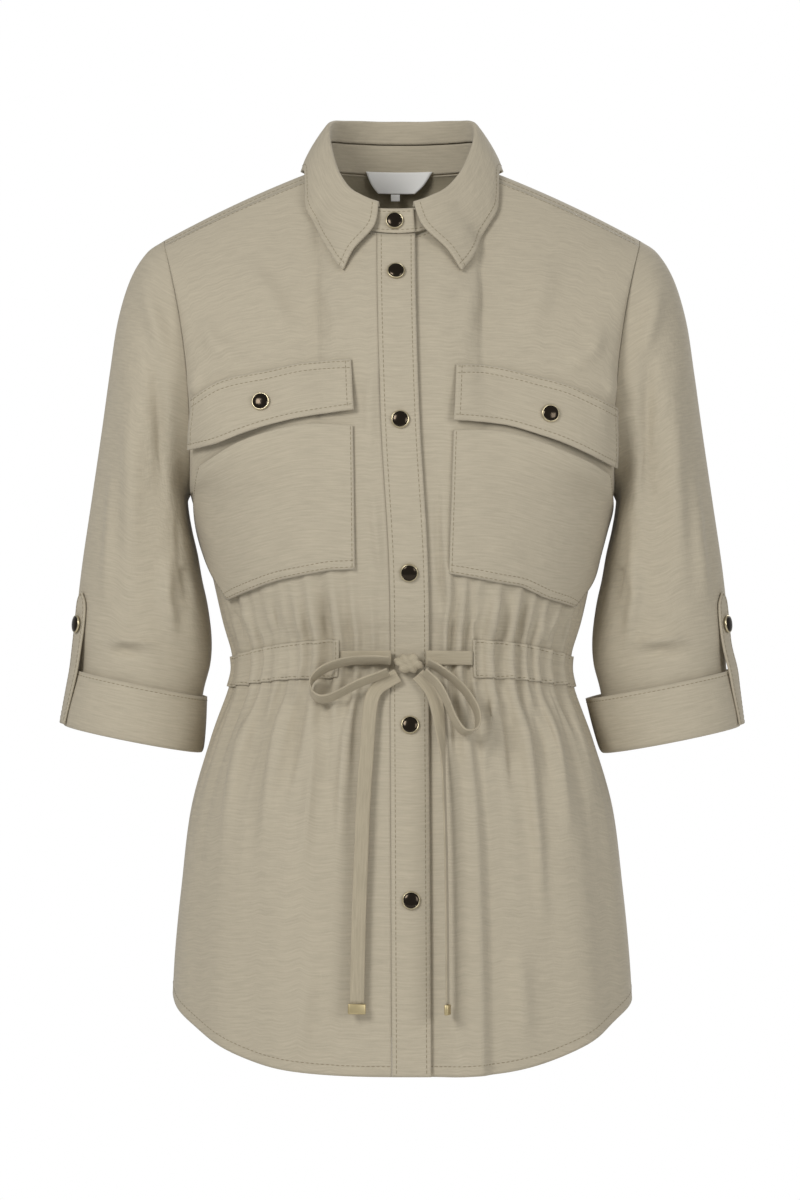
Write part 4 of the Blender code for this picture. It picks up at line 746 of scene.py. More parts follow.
def crease(grid, strokes):
    """How far a table of strokes pushes points out, by their distance from each stroke."""
    push = np.zeros(grid.shape[:-1])
    flat = grid[..., [0, 2]]
    for line, height, width in strokes:
        line = np.array(line, float)
        reach = np.full(push.shape, FAR)
        share = np.zeros(push.shape)
        for i in range(len(line) - 1):
            a, d = line[i], line[i + 1] - line[i]
            t = np.clip(((flat - a) @ d) / (d @ d), 0, 1)
            r = np.linalg.norm(flat - a - t[..., None] * d, axis=-1)
            nearer = r < reach
            reach = np.where(nearer, r, reach)
            share = np.where(nearer, (i + t) / (len(line) - 1), share)
        fade = ease(share / TAPER) * ease((1 - share) / TAPER)
        push += height * min(1.0, width / BROAD) * fade * np.exp(-(reach / width) ** 2)
    return push


# Gathers: waves round the waist as a count of turns, a share of the height and a start
GATHERS = ((41, 0.50, 0.4), (57, 0.38, 2.1), (68, 0.26, 4.0), (31, 0.32, 1.0))
GATHER_HEIGHT = 2.5
GATHER_BAND = (-356.0, -399.0)
GATHER_FADE = (34.0, 52.0)   # how far they reach above and below the casing
GATHER_FREE = (24.0, 20.0)   # how wide the closure is that stays flat, and over what width waves start
CREASE_GAIN = 3.0            # raises the strokes' heights, which were set for a flatter cloth
SLEEVE_GAIN = 3.6
FACING = (2.5, 0.2)          # how sharply a stroke stops where the cloth turns to the side
SEWN_ON = ((34.0, 172.0), (-176.0, -306.0))   # where a pocket lies on the front, across and down
SEWN_EDGE = 6.0              # how far round it the cloth is held by its seam
SEWN_FLAT = 0.8              # the share of a crease that the pocket takes away


def gathers(grid):
    """Uneven small waves that the drawn waist makes, gone at the closure and away from the waist."""
    angle = np.arctan2(grid[..., 0], -grid[..., 1])
    wave = sum(share * np.cos(count * angle + start) for count, share, start in GATHERS)
    z = grid[..., 2]
    above, below = np.maximum(z - GATHER_BAND[0], 0), np.maximum(GATHER_BAND[1] - z, 0)
    fade = np.exp(-(above / GATHER_FADE[0]) ** 2 - (below / GATHER_FADE[1]) ** 2)
    flat, start = GATHER_FREE
    closure = np.where(grid[..., 1] < 0, ease((np.abs(grid[..., 0]) - flat) / start), 1.0)
    return GATHER_HEIGHT * wave * fade * closure


def creased(grid, n, front, back, gain=CREASE_GAIN):
    """A grid pushed along its normals by the strokes of its front and of its back."""
    facing = ease(-n[..., 1] * FACING[0] + FACING[1])
    behind = ease(n[..., 1] * FACING[0] + FACING[1])
    wide, tall = SEWN_ON
    x, z, edge = np.abs(grid[..., 0]), grid[..., 2], SEWN_EDGE
    under = ease((x - wide[0] + edge) / edge) * ease((wide[1] + edge - x) / edge)
    under = under * ease((tall[0] + edge - z) / edge)
    under = under * ease((z - tall[1] + edge) / edge) * facing
    push = crease(grid, front) * facing + crease(grid, back) * behind
    return grid + n * (gain * push * (1 - SEWN_FLAT * under))[..., None]


def gathered(grid, n):
    """A grid pushed along its normals by the drawn waist's waves."""
    return grid + n * gathers(grid)[..., None]


waist = points(90.0, np.array([-80.0, -81.0]), np.array([-380.0, -560.0]))
print("a gather pushes", gathers(waist).round(2), "mm at the waist and below it")

# %% [markdown]
# Each sheet becomes a mesh of quads. Its map is in metres along the cloth, so a pattern has one size
# everywhere, and a solidify modifier gives the thickness of real cloth, towards the inside. Then each
# piece says which solid it stands for.

# %% Meshes
made_cloth = {}              # each piece's grid and normals by name, for the stitches


def lengths(grid, axis):
    """Distances along the rows or columns of a grid from its first point."""
    step = np.linalg.norm(np.diff(grid, axis=axis), axis=-1)
    start = np.zeros_like(np.take(step, [0], axis=axis))
    return np.concatenate([start, np.cumsum(step, axis=axis)], axis=axis)


def mesh_of(name, verts, faces, look, uv=None):
    """A smooth mesh from points in millimetres, with a map in metres where one is given."""
    mesh = bpy.data.meshes.new(name)
    mesh.from_pydata((np.asarray(verts) * MM).tolist(), [], [list(map(int, face)) for face in faces])
    mesh.materials.append(look)
    if uv is not None:
        layer = mesh.uv_layers.new(name="UVMap")
        index = np.zeros(len(mesh.loops), int)
        mesh.loops.foreach_get("vertex_index", index)
        layer.data.foreach_set("uv", (uv[index] * MM).ravel())
    mesh.shade_smooth()
    made = bpy.data.objects.new(name, mesh)
    bpy.context.scene.collection.objects.link(made)
    return made


def seat(piece, slot, *nodes):
    """The piece rides on the jacket's only body and stands for its CAD nodes; slot is not used."""
    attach(piece, "root")
    if nodes:
        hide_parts(*nodes)
    return piece


def facing_out(grid, centre):
    """The normals of a grid, turned away from a line through centre."""
    n = sheet_normals(grid)
    return n * np.sign(np.sum(n * (grid - centre)))


WELD_REACH = 0.00002         # in metres: joins a tube's first and last column


def cloth(name, grid, centre, thickness, look=None, inner=None, closed=False,
          level_row=0):
    """A sheet of cloth from a grid whose points are its outer face.

    Its map starts at level_row, which lies level, so that the weft does too.
    piece isn't declared as a sheet.
    """
    n = facing_out(grid, centre)
    rows, columns = grid.shape[:2]
    across, down = lengths(grid, 1), lengths(grid, 0)
    uv = np.stack([across, down - down[level_row]], axis=-1).reshape(-1, 2)
    index = np.arange(rows * columns).reshape(rows, columns)
    a, b, c, d = index[:-1, :-1], index[:-1, 1:], index[1:, 1:], index[1:, :-1]
    quads = np.stack([a, b, c, d], axis=-1).reshape(-1, 4)
    flat_n = np.cross((grid[1:, :-1] - grid[:-1, :-1]), (grid[:-1, 1:] - grid[:-1, :-1]))
    if np.sum(flat_n * n[:-1, :-1]) > 0:
        quads = quads[:, ::-1]
    piece = mesh_of(name + "_cloth", grid.reshape(-1, 3), quads, look or twill, uv)
    piece.data.materials.append(inner or look or twill)
    if closed:
        weld = piece.modifiers.new("close", "WELD")
        weld.merge_threshold = WELD_REACH
    wall = piece.modifiers.new("wall", "SOLIDIFY")
    wall.thickness = thickness * MM
    wall.offset = -1.0
    wall.material_offset = 1
    seat(piece, "label_cloth" if look is label_cloth else "twill", name)
    made_cloth[name] = (grid, n)
    return piece


print("meshes are made in metres, from millimetres times", MM)

# %% [markdown]
# The drawstring is flat cotton tape. It comes out of the casing's two ends, is tied in a bow over the
# closure, and its free ends hang down the front with a clamped metal end each. A curve object with a
# bevel would be the quick way; a ring swept along points lets the tape turn from flat to edge-on, as its
# left end does in the picture.

# %% Tape, knot and runs
CORD_WIDTH = 11.0
CORD_WALL = 1.6
KNOT = (5.0, -383.0, 7.1)           # x, z and lift over the smooth front
KNOT_HALF = (12.5, 6.0, 8.5)
JOIN_GAP = 0.5                      # between the knot and each cord that leaves it
RUN_GAP = 1.6                       # the run starts this far inside the casing's end, before its lift
RUN_START_LIFT = 3.6
RUN_END_LIFT = 4.6
RUN_HEIGHT = -378.5


def over_front(x, z, lift):
    """Points in front of the middle of the jacket by x, height and lift over its smooth form."""
    x, z = np.asarray(x, float), np.asarray(z, float)
    drift = smooth(CLOSURE_DRIFT, z) * ease(1 - np.abs(x) / 120.0)
    levels = np.linspace(0.0, 9.0, 200)
    heights = strip_at(np.zeros(200), levels)[:, 2]
    level = np.interp(-z, -heights, levels)
    return strip_at(x - drift, level, lift)


print("the knot is tied at", over_front(*KNOT).round(1))

# %% Bow and free ends
# Loops of the bow, from the knot out along the upper strand and back along the lower one
LOOPS = {
    # side: x, z and lift of points along the cord
    -1: ((-8.6, -381.0, 12.5), (-22.0, -380.0, 13.0), (-40.0, -381.5, 13.0), (-56.0, -388.0, 13.0),
         (-65.0, -398.0, 12.5), (-65.5, -408.0, 12.0), (-58.0, -413.0, 12.0), (-46.0, -409.0, 12.0),
         (-32.0, -401.0, 12.5), (-18.0, -394.5, 12.5), (-9.8, -390.5, 12.5)),
    1: ((18.6, -382.0, 12.5), (28.0, -388.5, 13.5), (38.0, -398.0, 15.0), (48.0, -411.0, 16.5),
        (54.5, -425.0, 17.5), (53.5, -436.0, 18.0), (45.5, -438.5, 18.0), (38.5, -430.0, 17.5),
        (32.0, -414.0, 16.0), (25.5, -401.0, 14.5), (16.8, -390.6, 12.5)),
}
LOOP_TILT = {-1: (0.0, 0.80, -0.60), 1: (-0.35, 0.85, -0.40)}      # the direction of the cord's width
LOOP_STEPS = 26

# Free ends: x, z and lift along the middle of the cord, and how far its width has turned from level
TAILS = {
    -1: ((-3.0, -392.6, 5.6, 0.0), (-10.0, -397.0, 5.8, 0.0), (-17.5, -402.5, 6.0, 0.0),
         (-22.0, -410.0, 6.5, 0.0), (-24.0, -422.0, 7.0, 0.1), (-26.0, -451.0, 8.0, 0.15),
         (-28.5, -490.0, 8.5, 0.15), (-30.0, -530.0, 8.5, 0.1), (-31.5, -570.0, 8.5, 0.1),
         (-32.3, -606.0, 8.5, 0.1), (-33.0, -642.0, 8.5, 0.1)),
    1: ((12.0, -391.9, 6.2, 0.0), (18.0, -399.0, 6.0, 0.0), (23.0, -407.0, 6.5, 0.1),
        (26.0, -418.0, 8.0, 0.3), (28.0, -432.0, 10.0, 0.7), (30.0, -458.0, 14.0, 1.3),
        (31.0, -490.0, 17.0, 1.4), (32.0, -530.0, 18.0, 1.4), (32.5, -570.0, 18.0, 1.4),
        (32.8, -606.0, 18.0, 1.4), (33.0, -642.0, 18.0, 1.4)),
}
TAIL_STEPS = 30
TIP_SIZE = (13.5, 3.2, 8.0)


def tail_route(side):
    """The tail's middle line as a smooth curve through its points, and the direction of its width."""
    keys = [(i,) + row for i, row in enumerate(TAILS[side])]
    at = np.linspace(0, len(keys) - 1, TAIL_STEPS)
    middle = over_front(smooth(keys, at, 1), smooth(keys, at, 2), smooth(keys, at, 3))
    turn = smooth(keys, at, 4)
    return middle, np.stack([np.cos(turn), np.sin(turn), 0 * turn], axis=-1)


print("the right tail ends at", tail_route(-1)[0][-1].round(1))

# %% Drawstring
# The tape's section, as shares of its width and thickness
TAPE_ROUND = ((0.5, 0.2), (0.5, -0.2), (0.46, -0.42), (0.36, -0.5), (-0.36, -0.5), (-0.46, -0.42),
              (-0.5, -0.2), (-0.5, 0.2), (-0.46, 0.42), (-0.36, 0.5), (0.36, 0.5), (0.46, 0.42))
TAPE_STEPS = 4               # rings for each point of the route
TIP_BEVEL = 0.9              # the metal's edges are rounded by this
TIP_GAP = 0.3                # between the tape's end and the metal


def tape(name, middle, across):
    """A flat tape along a curve, with its width's direction; returns the piece, middle and length."""
    at = np.linspace(0, len(middle) - 1, (len(middle) - 1) * TAPE_STEPS + 1)
    middle, across = curve_through(middle, at), curve_through(across, at)
    along = np.gradient(middle, axis=0)
    along /= np.linalg.norm(along, axis=-1, keepdims=True)
    across = across - along * np.sum(across * along, axis=-1, keepdims=True)
    across /= np.linalg.norm(across, axis=-1, keepdims=True)
    face = np.cross(along, across)
    shape = np.array(TAPE_ROUND)
    ring = (middle[:, None] + across[:, None] * shape[None, :, :1] * CORD_WIDTH
            + face[:, None] * shape[None, :, 1:] * CORD_WALL)
    rows, n = ring.shape[:2]
    index = np.arange(rows * n).reshape(rows, n)
    turned = np.roll(index, -1, axis=1)
    quads = np.stack([index[:-1], turned[:-1], turned[1:], index[1:]], axis=-1).reshape(-1, 4).tolist()
    quads += [index[0][::-1].tolist(), index[-1].tolist()]
    along_mm = np.concatenate([[0], np.cumsum(np.linalg.norm(np.diff(middle, axis=0), axis=-1))])
    uv = np.stack(np.broadcast_arrays(along_mm[:, None], shape[None, :, 0] * CORD_WIDTH), axis=-1)
    piece = mesh_of(name + "_tape", ring.reshape(-1, 3), quads, cord_cotton, uv.reshape(-1, 2))
    seat(piece, "twill", name)
    return piece, middle, along_mm[-1]


def rounded_tip(name, centre, axes):
    """A flat metal end with soft edges, made round the tape's last point."""
    size = np.array(TIP_SIZE)
    corners = np.array([[x, y, z] for x in (-0.5, 0.5) for y in (-0.5, 0.5) for z in (-0.5, 0.5)])
    verts = centre + (corners * size) @ np.array(axes)
    faces = [(0, 1, 3, 2), (4, 6, 7, 5), (0, 4, 5, 1), (2, 3, 7, 6), (0, 2, 6, 4), (1, 5, 7, 3)]
    piece = mesh_of(name + "_metal", verts, faces, tip_metal)
    bevel = piece.modifiers.new("edge", "BEVEL")
    bevel.width = TIP_BEVEL * MM
    bevel.segments = 3
    return seat(piece, "tip_metal", name)


SIDES = ((-1, "right"), (1, "left"))
for side, word in SIDES:
    middle, across = tail_route(side)
    tail, path, length = tape("drawstring_tail_" + word, middle, across)
    along = middle[-2] - middle[-1]
    along = along / np.linalg.norm(along)
    wide = across[-1] - along * np.dot(across[-1], along)
    wide = wide / np.linalg.norm(wide)
    centre = middle[-1] - along * (TIP_SIZE[2] / 2 + TIP_GAP)
    tip = rounded_tip("drawstring_tip_" + word, centre, (wide, np.cross(along, wide), along))
    keys = [(i,) + row for i, row in enumerate(LOOPS[side])]
    at = np.linspace(0, len(keys) - 1, LOOP_STEPS)
    loop = over_front(smooth(keys, at, 1), smooth(keys, at, 2), smooth(keys, at, 3))
    tape("bow_loop_" + word, loop, np.tile(np.array(LOOP_TILT[side], float), (LOOP_STEPS, 1)))
    print(word, "free end", round(length), "mm")

# %% Runs from the casing to the knot
CASING_START = 6             # the column where the casing ends on each front
RUN_STEPS = 6
for side, word in SIDES:
    end = skin("front", side, np.array(float(CASING_START)), np.array(3.5), 0.0, PLACKET_HALF + SEAM_GAP)
    x = np.linspace(end[0] - side * RUN_GAP, KNOT[0] + side * (KNOT_HALF[0] + JOIN_GAP), RUN_STEPS)
    w = np.linspace(0, 1, RUN_STEPS)
    run = over_front(x, RUN_HEIGHT + 0 * x, RUN_START_LIFT + (RUN_END_LIFT - RUN_START_LIFT) * w)
    length = tape("drawstring_run_" + word, run, np.tile([0.0, 0.0, 1.0], (RUN_STEPS, 1)))[2]
    print(word, "run", round(length), "mm")

# %% [markdown]
# Tied tape bunches into a small lump. A squashed ball with slanting wraps and one deep tuck across it
# reads as a knot at this size, and it closes over the ends of every tape that meets there.

# %% Knot
KNOT_RINGS = 24
KNOT_SIDES = 40
POLE = 0.02                  # how near the rings come to the ball's two poles, in radians
KNOT_FILL = 0.88             # the ball's size before its wraps, as a share of its solid
WRAP_DEPTH, TUCK_DEPTH = 0.10, 0.16
SLANT = 0.5                  # the tuck's slope across the knot
TUCK_WIDTH = 0.16
knot_middle = over_front(*KNOT)
polar = np.linspace(POLE, math.pi - POLE, KNOT_RINGS)[:, None]
turn = np.linspace(0, 2 * math.pi, KNOT_SIDES + 1)[None, :]
ball = np.stack(np.broadcast_arrays(np.sin(polar) * np.cos(turn), np.sin(polar) * np.sin(turn),
                                    np.cos(polar)), axis=-1)
wrap = WRAP_DEPTH * np.cos(3.2 * (ball[..., 0] * 1.6 + ball[..., 2] * 0.7) * math.pi / 2)
tuck = -TUCK_DEPTH * np.exp(-((ball[..., 2] - SLANT * ball[..., 0]) / TUCK_WIDTH) ** 2)
ball = knot_middle + ball * (KNOT_FILL + wrap + tuck)[..., None] * np.array(KNOT_HALF)
rows, columns = ball.shape[:2]
index = np.arange(rows * columns).reshape(rows, columns)
quads = np.stack([index[:-1, :-1], index[1:, :-1], index[1:, 1:], index[:-1, 1:]], axis=-1).reshape(-1, 4)
knot_map = np.stack([lengths(ball, 1), lengths(ball, 0)], axis=-1).reshape(-1, 2)
knot = mesh_of("bow_knot_tape", ball.reshape(-1, 3), quads, cord_cotton, knot_map)
seat(knot, "twill", "bow_knot")
print("the knot is", 2 * KNOT_HALF[0], "mm wide and", 2 * KNOT_HALF[2], "mm high")

# %% [markdown]
# The body is cut in three panels and a strip. The right front lies on top at the closure, with the strip
# sewn on its edge, and the left front passes under it. The back is one piece over both shoulders. All of
# them are the same skin at other columns and levels, so their seams meet without any fitting.

# %% Fronts
AXIS = np.array([0.0, 0.0, -300.0])
CLOTH_WALL = 1.3             # a little thinner than the solids' wall
STEP = 4                     # points for each column of the solids
EDGE = PLACKET_HALF + SEAM_GAP
UNDERLAP = 11.0              # how far the left front runs on past the middle
TUCK = 3.0                   # and how far it lies under the strip
WAIST = 3.5                  # the level of the casing's middle, where the weft lies level
UPPER_ROWS = 60              # rows for each level above the chest
FRONT_ROWS, BACK_ROWS = 18, 16         # and below it
HEM = 9                      # the level of the hem


def level_steps(first, per_level):
    """Rows from the top edge to the hem, closer over the gathers."""
    upper = np.linspace(first, 0.0, int(UPPER_ROWS * -first), endpoint=False)
    lower = np.linspace(0.0, HEM, HEM * per_level + 1)
    return np.concatenate([upper, lower])


levels = level_steps(-1.0, FRONT_ROWS)[:, None]
columns = np.linspace(0, COLUMNS, COLUMNS * STEP + 1)[None, :]
right = skin("front", -1, columns + 0 * levels, levels + 0 * columns, 0.0, EDGE)
n = facing_out(right, AXIS)
right = gathered(creased(right, n, FRONT_STROKES, ()), n)
waist_row = int(np.argmin(np.abs(levels[:, 0] - WAIST)))
cloth("front_right", right, AXIS, CLOTH_WALL, inner=twill_inside_painted_shade, level_row=waist_row)

under_x = np.linspace(-UNDERLAP, PLACKET_HALF, 8)[:-1][None, :]
tuck = -TUCK * (1 - ease(columns / 3.0))
left = skin("front", 1, columns + 0 * levels, levels + 0 * columns, tuck + 0 * levels, EDGE)
under = strip_at(under_x + 0 * levels, levels + 0 * under_x, -TUCK + 0 * levels + 0 * under_x)
left = np.concatenate([under, left], axis=1)
n = facing_out(left, AXIS)
left = gathered(creased(left, n, FRONT_STROKES, ()), n)
cloth("front_left", left, AXIS, CLOTH_WALL, inner=twill_inside_painted_shade, level_row=waist_row)

# %% Strip on the closure
across = np.linspace(-PLACKET_HALF, PLACKET_HALF, 21)[None, :]
STRIP_LIFT, STRIP_SWELL = 0.3, 0.2     # the strip's edges lie flat and its middle swells a little
STRIP_EDGE = 3.0                       # over this width
STRIP_WALL = 1.6                       # two layers of cloth, and the same for the cuffs
swell = STRIP_LIFT + STRIP_SWELL * ease((PLACKET_HALF - np.abs(across)) / STRIP_EDGE)
strip = strip_at(across + 0 * levels, levels + 0 * across, swell + 0 * levels)
cloth("placket", strip, AXIS, STRIP_WALL)

# %% Back
BACK_STEP = 3                # points for each column
back_levels = level_steps(-2.0, BACK_ROWS)[:, None]
back_columns = np.linspace(0, COLUMNS, COLUMNS * BACK_STEP + 1)[None, :]
halves = [skin("back", side, back_columns + 0 * back_levels, back_levels + 0 * back_columns)
          for side in (-1, 1)]
whole = np.concatenate([halves[0][:, :0:-1], halves[1]], axis=1)
n = facing_out(whole, AXIS)
whole = gathered(creased(whole, n, (), BACK_STROKES), n)
waist_row = int(np.argmin(np.abs(back_levels[:, 0] - WAIST)))
cloth("back", whole, AXIS, CLOTH_WALL, inner=twill_inside_painted_shade, level_row=waist_row)

# %% [markdown]
# A shirt collar has two parts. The stand is a band sewn to the neckline, which closes with a snap. The
# leaf is sewn to its top, rolls over and falls to two points on the fronts. Cloth simulation would give
# the roll, but not the same one every time: here the stand is a ruled band between two rings, and the
# leaf runs over a roll line and down to an edge whose points are placed one by one.

# %% Collar's sizes
STAND_HALF = 59.5
STAND_FRONT = 62.5
STAND_BACK = 61.0
STAND_UNDER = -9.0          # the left end of the stand starts here, in degrees past centre front
STAND_OVER = 12.5           # and the right end lies over it up to here
UNDER_TUCK = 3.4            # how far in the end below lies
OVER_RISE = 2.6             # and how far out the end on top
COLLAR_RAISE = 0.9          # the collar's pieces start this far above what they are sewn to

# The leaf's cross-section: rows by distance outside the stand's ring and height above a ring
LEAF_ROWS = (
    # out  curve height
    (-2.3, 2,     0.9),
    (-2.5, 3,    -3.0),
    (-1.0, 3,     0.0),
    (2.2,  3,    -1.3),
)
LEAF_FALL = (0.33, 0.68, 1.0)
LEAF_BULGE = 2.5
LEAF_LIFT = 3.4
TIP_BOW = 7.0               # how far the front edge curves in towards the middle

# The leaf's edge at each point of the neckline from the front: x and z on the front, or x, y and z
LEAF_EDGE = (
    (45.5, -78.0), (51.5, -70.5), (57.0, -60.5), (62.5, -50.0), (69.5, -38.0), (76.0, -24.0),
    "shoulder",
    (81.5, 14.0, 10.0), (75.5, 36.0, 10.0), (60.5, 55.0, 9.8), (42.0, 67.0, 9.5),
    (21.0, 75.5, 9.2), (0.0, 78.5, 9.0),
)
LEAF_SHOULDER = (6.85, -1.75, 4.2)   # column and level on the back panel, and lift
print("the leaf's edge has", 2 * len(LEAF_EDGE) - 1, "placed points")

# %% Stand
def neck_turns():
    """The turns round the neck of the panels' neckline points, from the closure to centre back."""
    columns = np.arange(NECK_INDEX + 1.0)
    angle = column_angle("front", columns, -1.0, PLACKET_HALF + SEAM_GAP)
    share = np.clip(np.sin(np.radians(angle)) / math.sin(math.radians(NECK_COLUMN)), 0, 1)
    front = np.degrees(np.arcsin(share * math.sin(math.radians(SEAM_TURN))))
    behind = 180.0 - (180.0 - SEAM_TURN) * columns / NECK_INDEX
    return np.concatenate([front, behind[-2::-1]])


def ring_at(turn, curve, half, front, back):
    """A point of a ring round the neck; the turn runs by the wearer's left to the back and on."""
    folded = np.abs(np.asarray(turn, float))
    folded = np.where(folded > 180.0, np.abs(360.0 - folded), folded)
    p = neck(folded, curve, half, front, back)
    p[..., 0] *= np.where((turn < 0) | ((turn > 180.0) & (turn < 360.0)), -1.0, 1.0)
    return finish(p, 1)


def inward_at(turns):
    """The level direction towards the neck's axis."""
    turns = np.radians(turns)
    return points(-np.sin(turns), np.cos(turns), 0.0)


def stand_tuck(turns):
    """How far in the stand lies: its left end passes under, its right end over."""
    first = neck_turns()[0]
    under = UNDER_TUCK * (1 - ease((turns - STAND_UNDER) / (first - STAND_UNDER)))
    over = OVER_RISE * ease((turns - 360.0 + first) / (first + STAND_OVER))
    return under - over


def collar_stand():
    """The stand's coarse grid, from its top edge down to the neckline."""
    half = neck_turns()
    turns = np.concatenate([[STAND_UNDER, 2.0], half, 360.0 - half[-2::-1], [362.0, 360.0 + STAND_OVER]])
    low = ring_at(turns, 1, NECK_HALF, NECK_FRONT, NECK_BACK)
    high = ring_at(turns, 2, STAND_HALF, STAND_FRONT, STAND_BACK)
    rise = high - low
    low = low + rise * (COLLAR_RAISE / np.linalg.norm(rise, axis=-1, keepdims=True))
    inward = inward_at(turns)
    return np.stack([high, (low + high) / 2, low]) + inward * stand_tuck(turns)[:, None]


MIDDLE = np.zeros(3)         # a point inside the neck
FINER = (8, 6)               # rows and columns for each one of a coarse grid
COLLAR_WALL = 1.8            # two layers of cloth with an interlining
cloth("collar_stand", refine(collar_stand(), *FINER), MIDDLE, COLLAR_WALL)

# %% Leaf
FRONT_FADE = 30.0            # the front edge's bow and rise are gone this many degrees round the neck


def leaf_edges(side):
    """The points of the leaf's outer edge on one side, from the front to centre back."""
    seated = np.array([row for row in LEAF_EDGE if len(row) == 2])
    edges = list(on_front(side, side * seated[:, 0], seated[:, 1], LEAF_LIFT))
    column, level, lift = LEAF_SHOULDER
    edges.append(skin("back", side, column, level, lift))
    edges += [np.array((side * x, y, z)) for x, y, z in LEAF_EDGE[len(seated) + 1:]]
    return np.array(edges)


def collar_leaf():
    """The leaf's coarse grid, from inside the stand over the roll line down to its edge."""
    half = neck_turns()
    turns = np.concatenate([half, 360.0 - half[-2::-1]])
    edge = np.concatenate([leaf_edges(1), leaf_edges(-1)[-2::-1]])
    inward = inward_at(turns)
    near = np.minimum(turns, 360.0 - turns)
    rows = []
    for out, curve, height in LEAF_ROWS:
        ring = ring_at(turns, curve, STAND_HALF + out, STAND_FRONT + out, STAND_BACK + out)
        rows.append(ring + points(0, 0, height))
    top = rows[-1]
    at_front = 1 - ease((near - half[0]) / FRONT_FADE)
    left_front = np.where(turns < 180.0, 1.0, 0.0) * at_front
    bow = TIP_BOW * at_front * np.where(turns < 180.0, -1.0, 1.0)
    for w in LEAF_FALL:
        swell = LEAF_BULGE * 4 * w * (1 - w) + OVER_RISE * left_front * (1 - w)
        rows.append(top * (1 - w) + edge * w - inward * swell[:, None]
                    + points(bow * 4 * w * (1 - w) * (w < 0.5), 0, 0))
    return np.stack(rows)


cloth("collar_leaf", refine(collar_leaf(), *FINER), MIDDLE, COLLAR_WALL)

# %% [markdown]
# A sleeve is a tube from the armhole to below the elbow, with its end rolled up into a cuff. A tab on the
# outer side comes from inside, holds the roll and closes with a snap. Rings round the arm describe the
# tube better than a bent cylinder would, because each can tilt and flatten as the hanging sleeve does.

# %% Sleeve's sizes
SLEEVE_RINGS = (
    # outer_x outer_z inner_x inner_z half_depth bow  y
    (190.0,  -47.0,  169.0, -250.0, 58.0, 10.0, -1.0),
    (204.0,  -57.0,  171.6, -257.0, 59.0,  5.0, -1.0),
    (217.0,  -78.0,  170.5, -266.0, 60.0,  1.0,  0.0),
    (227.0, -111.0,  167.5, -281.0, 60.0, -2.0,  1.0),
    (233.5, -152.0,  163.5, -298.0, 58.0, -2.0,  2.0),
    (240.0, -198.0,  160.0, -318.0, 56.5, -1.0,  3.0),
    (248.0, -252.0,  155.5, -339.0, 55.0,  0.0,  4.0),
    (256.5, -310.0,  152.5, -364.0, 53.5,  0.0,  4.0),
    (260.5, -352.0,  153.5, -385.0, 52.0,  0.0,  4.0),
    (259.5, -388.0,  159.5, -410.0, 50.5,  0.0,  4.0),
    (266.5, -424.0,  162.5, -446.0, 51.0,  0.0,  4.0),
)
CUFF_RINGS = {
    # side: top and bottom ring: outer_x outer_z inner_x inner_z half_depth bow y
    -1: ((263.5, -389.0, 156.0, -411.5, 55.0, 0.0, 4.0), (272.0, -433.5, 159.0, -456.0, 56.0, 0.0, 4.0)),
    1: ((266.0, -389.0, 147.0, -413.0, 55.0, 0.0, 4.0), (272.0, -434.0, 159.0, -456.5, 56.0, 0.0, 4.0)),
}
# The cuff's outer face, by the share of the way down and the inset: the turned-up outside, the fold,
# then the inside
CUFF_FACE = ((0.0, 0.0), (0.5, -0.6), (0.92, 0.0), (1.01, 2.9), (0.92, 5.8), (0.82, 5.8))
# Soft folds of the sleeves: side, angle at the top and at the bottom, height, width, first and last ring
SLEEVE_FOLDS = (
    (-1, 118.0, 150.0, 3.0, 16.0, 1.0, 9.0),
    (-1, 70.0, 85.0, 2.4, 20.0, 3.0, 8.6),
    (1, 115.0, 148.0, 3.0, 16.0, 1.0, 9.0),
    (1, 140.0, 128.0, -2.6, 10.0, 3.0, 9.0),
    (1, 60.0, 78.0, 2.4, 20.0, 3.0, 8.6),
    (-1, -70.0, -95.0, 3.0, 20.0, 2.0, 8.8),
    (1, -75.0, -90.0, 3.0, 22.0, 2.0, 8.8),
)
FRONT_TURNS = [SEAM_ANGLE + (180.0 - SEAM_ANGLE) * k / FRONT_PATCH_ROWS for k in range(FRONT_PATCH_ROWS + 1)]
BACK_TURNS = [-180.0 + 180.0 * k / BACK_PATCH_ROWS for k in range(1, BACK_PATCH_ROWS + 1)]
SLEEVE_TURNS = np.array(FRONT_TURNS + BACK_TURNS)
print(len(SLEEVE_RINGS), "rings of", len(SLEEVE_TURNS), "points")

# %% Sleeve and cuff forms
def ring_point(row, phi, inset=0.0):
    """A point of a ring round the arm and its outward direction: 0 degrees outside, 90 in front."""
    outer_x, outer_z, inner_x, inner_z, half_depth, bow, y = row
    phi = np.radians(phi)
    half_x, half_z = (outer_x - inner_x) / 2, (outer_z - inner_z) / 2
    half = np.hypot(half_x, half_z)
    p = points((outer_x + inner_x) / 2 + half_x * np.cos(phi) - bow * np.sin(phi) ** 2,
               y - half_depth * np.sin(phi), (outer_z + inner_z) / 2 + half_z * np.cos(phi))
    n = points(np.cos(phi) / half * half_x / half, -np.sin(phi) / half_depth,
               np.cos(phi) / half * half_z / half)
    n = n / np.linalg.norm(n, axis=-1, keepdims=True)
    return p - n * np.asarray(inset, float)[..., None]


SLEEVE_CURVES = [tuple((i, row[k]) for i, row in enumerate(SLEEVE_RINGS)) for k in range(7)]


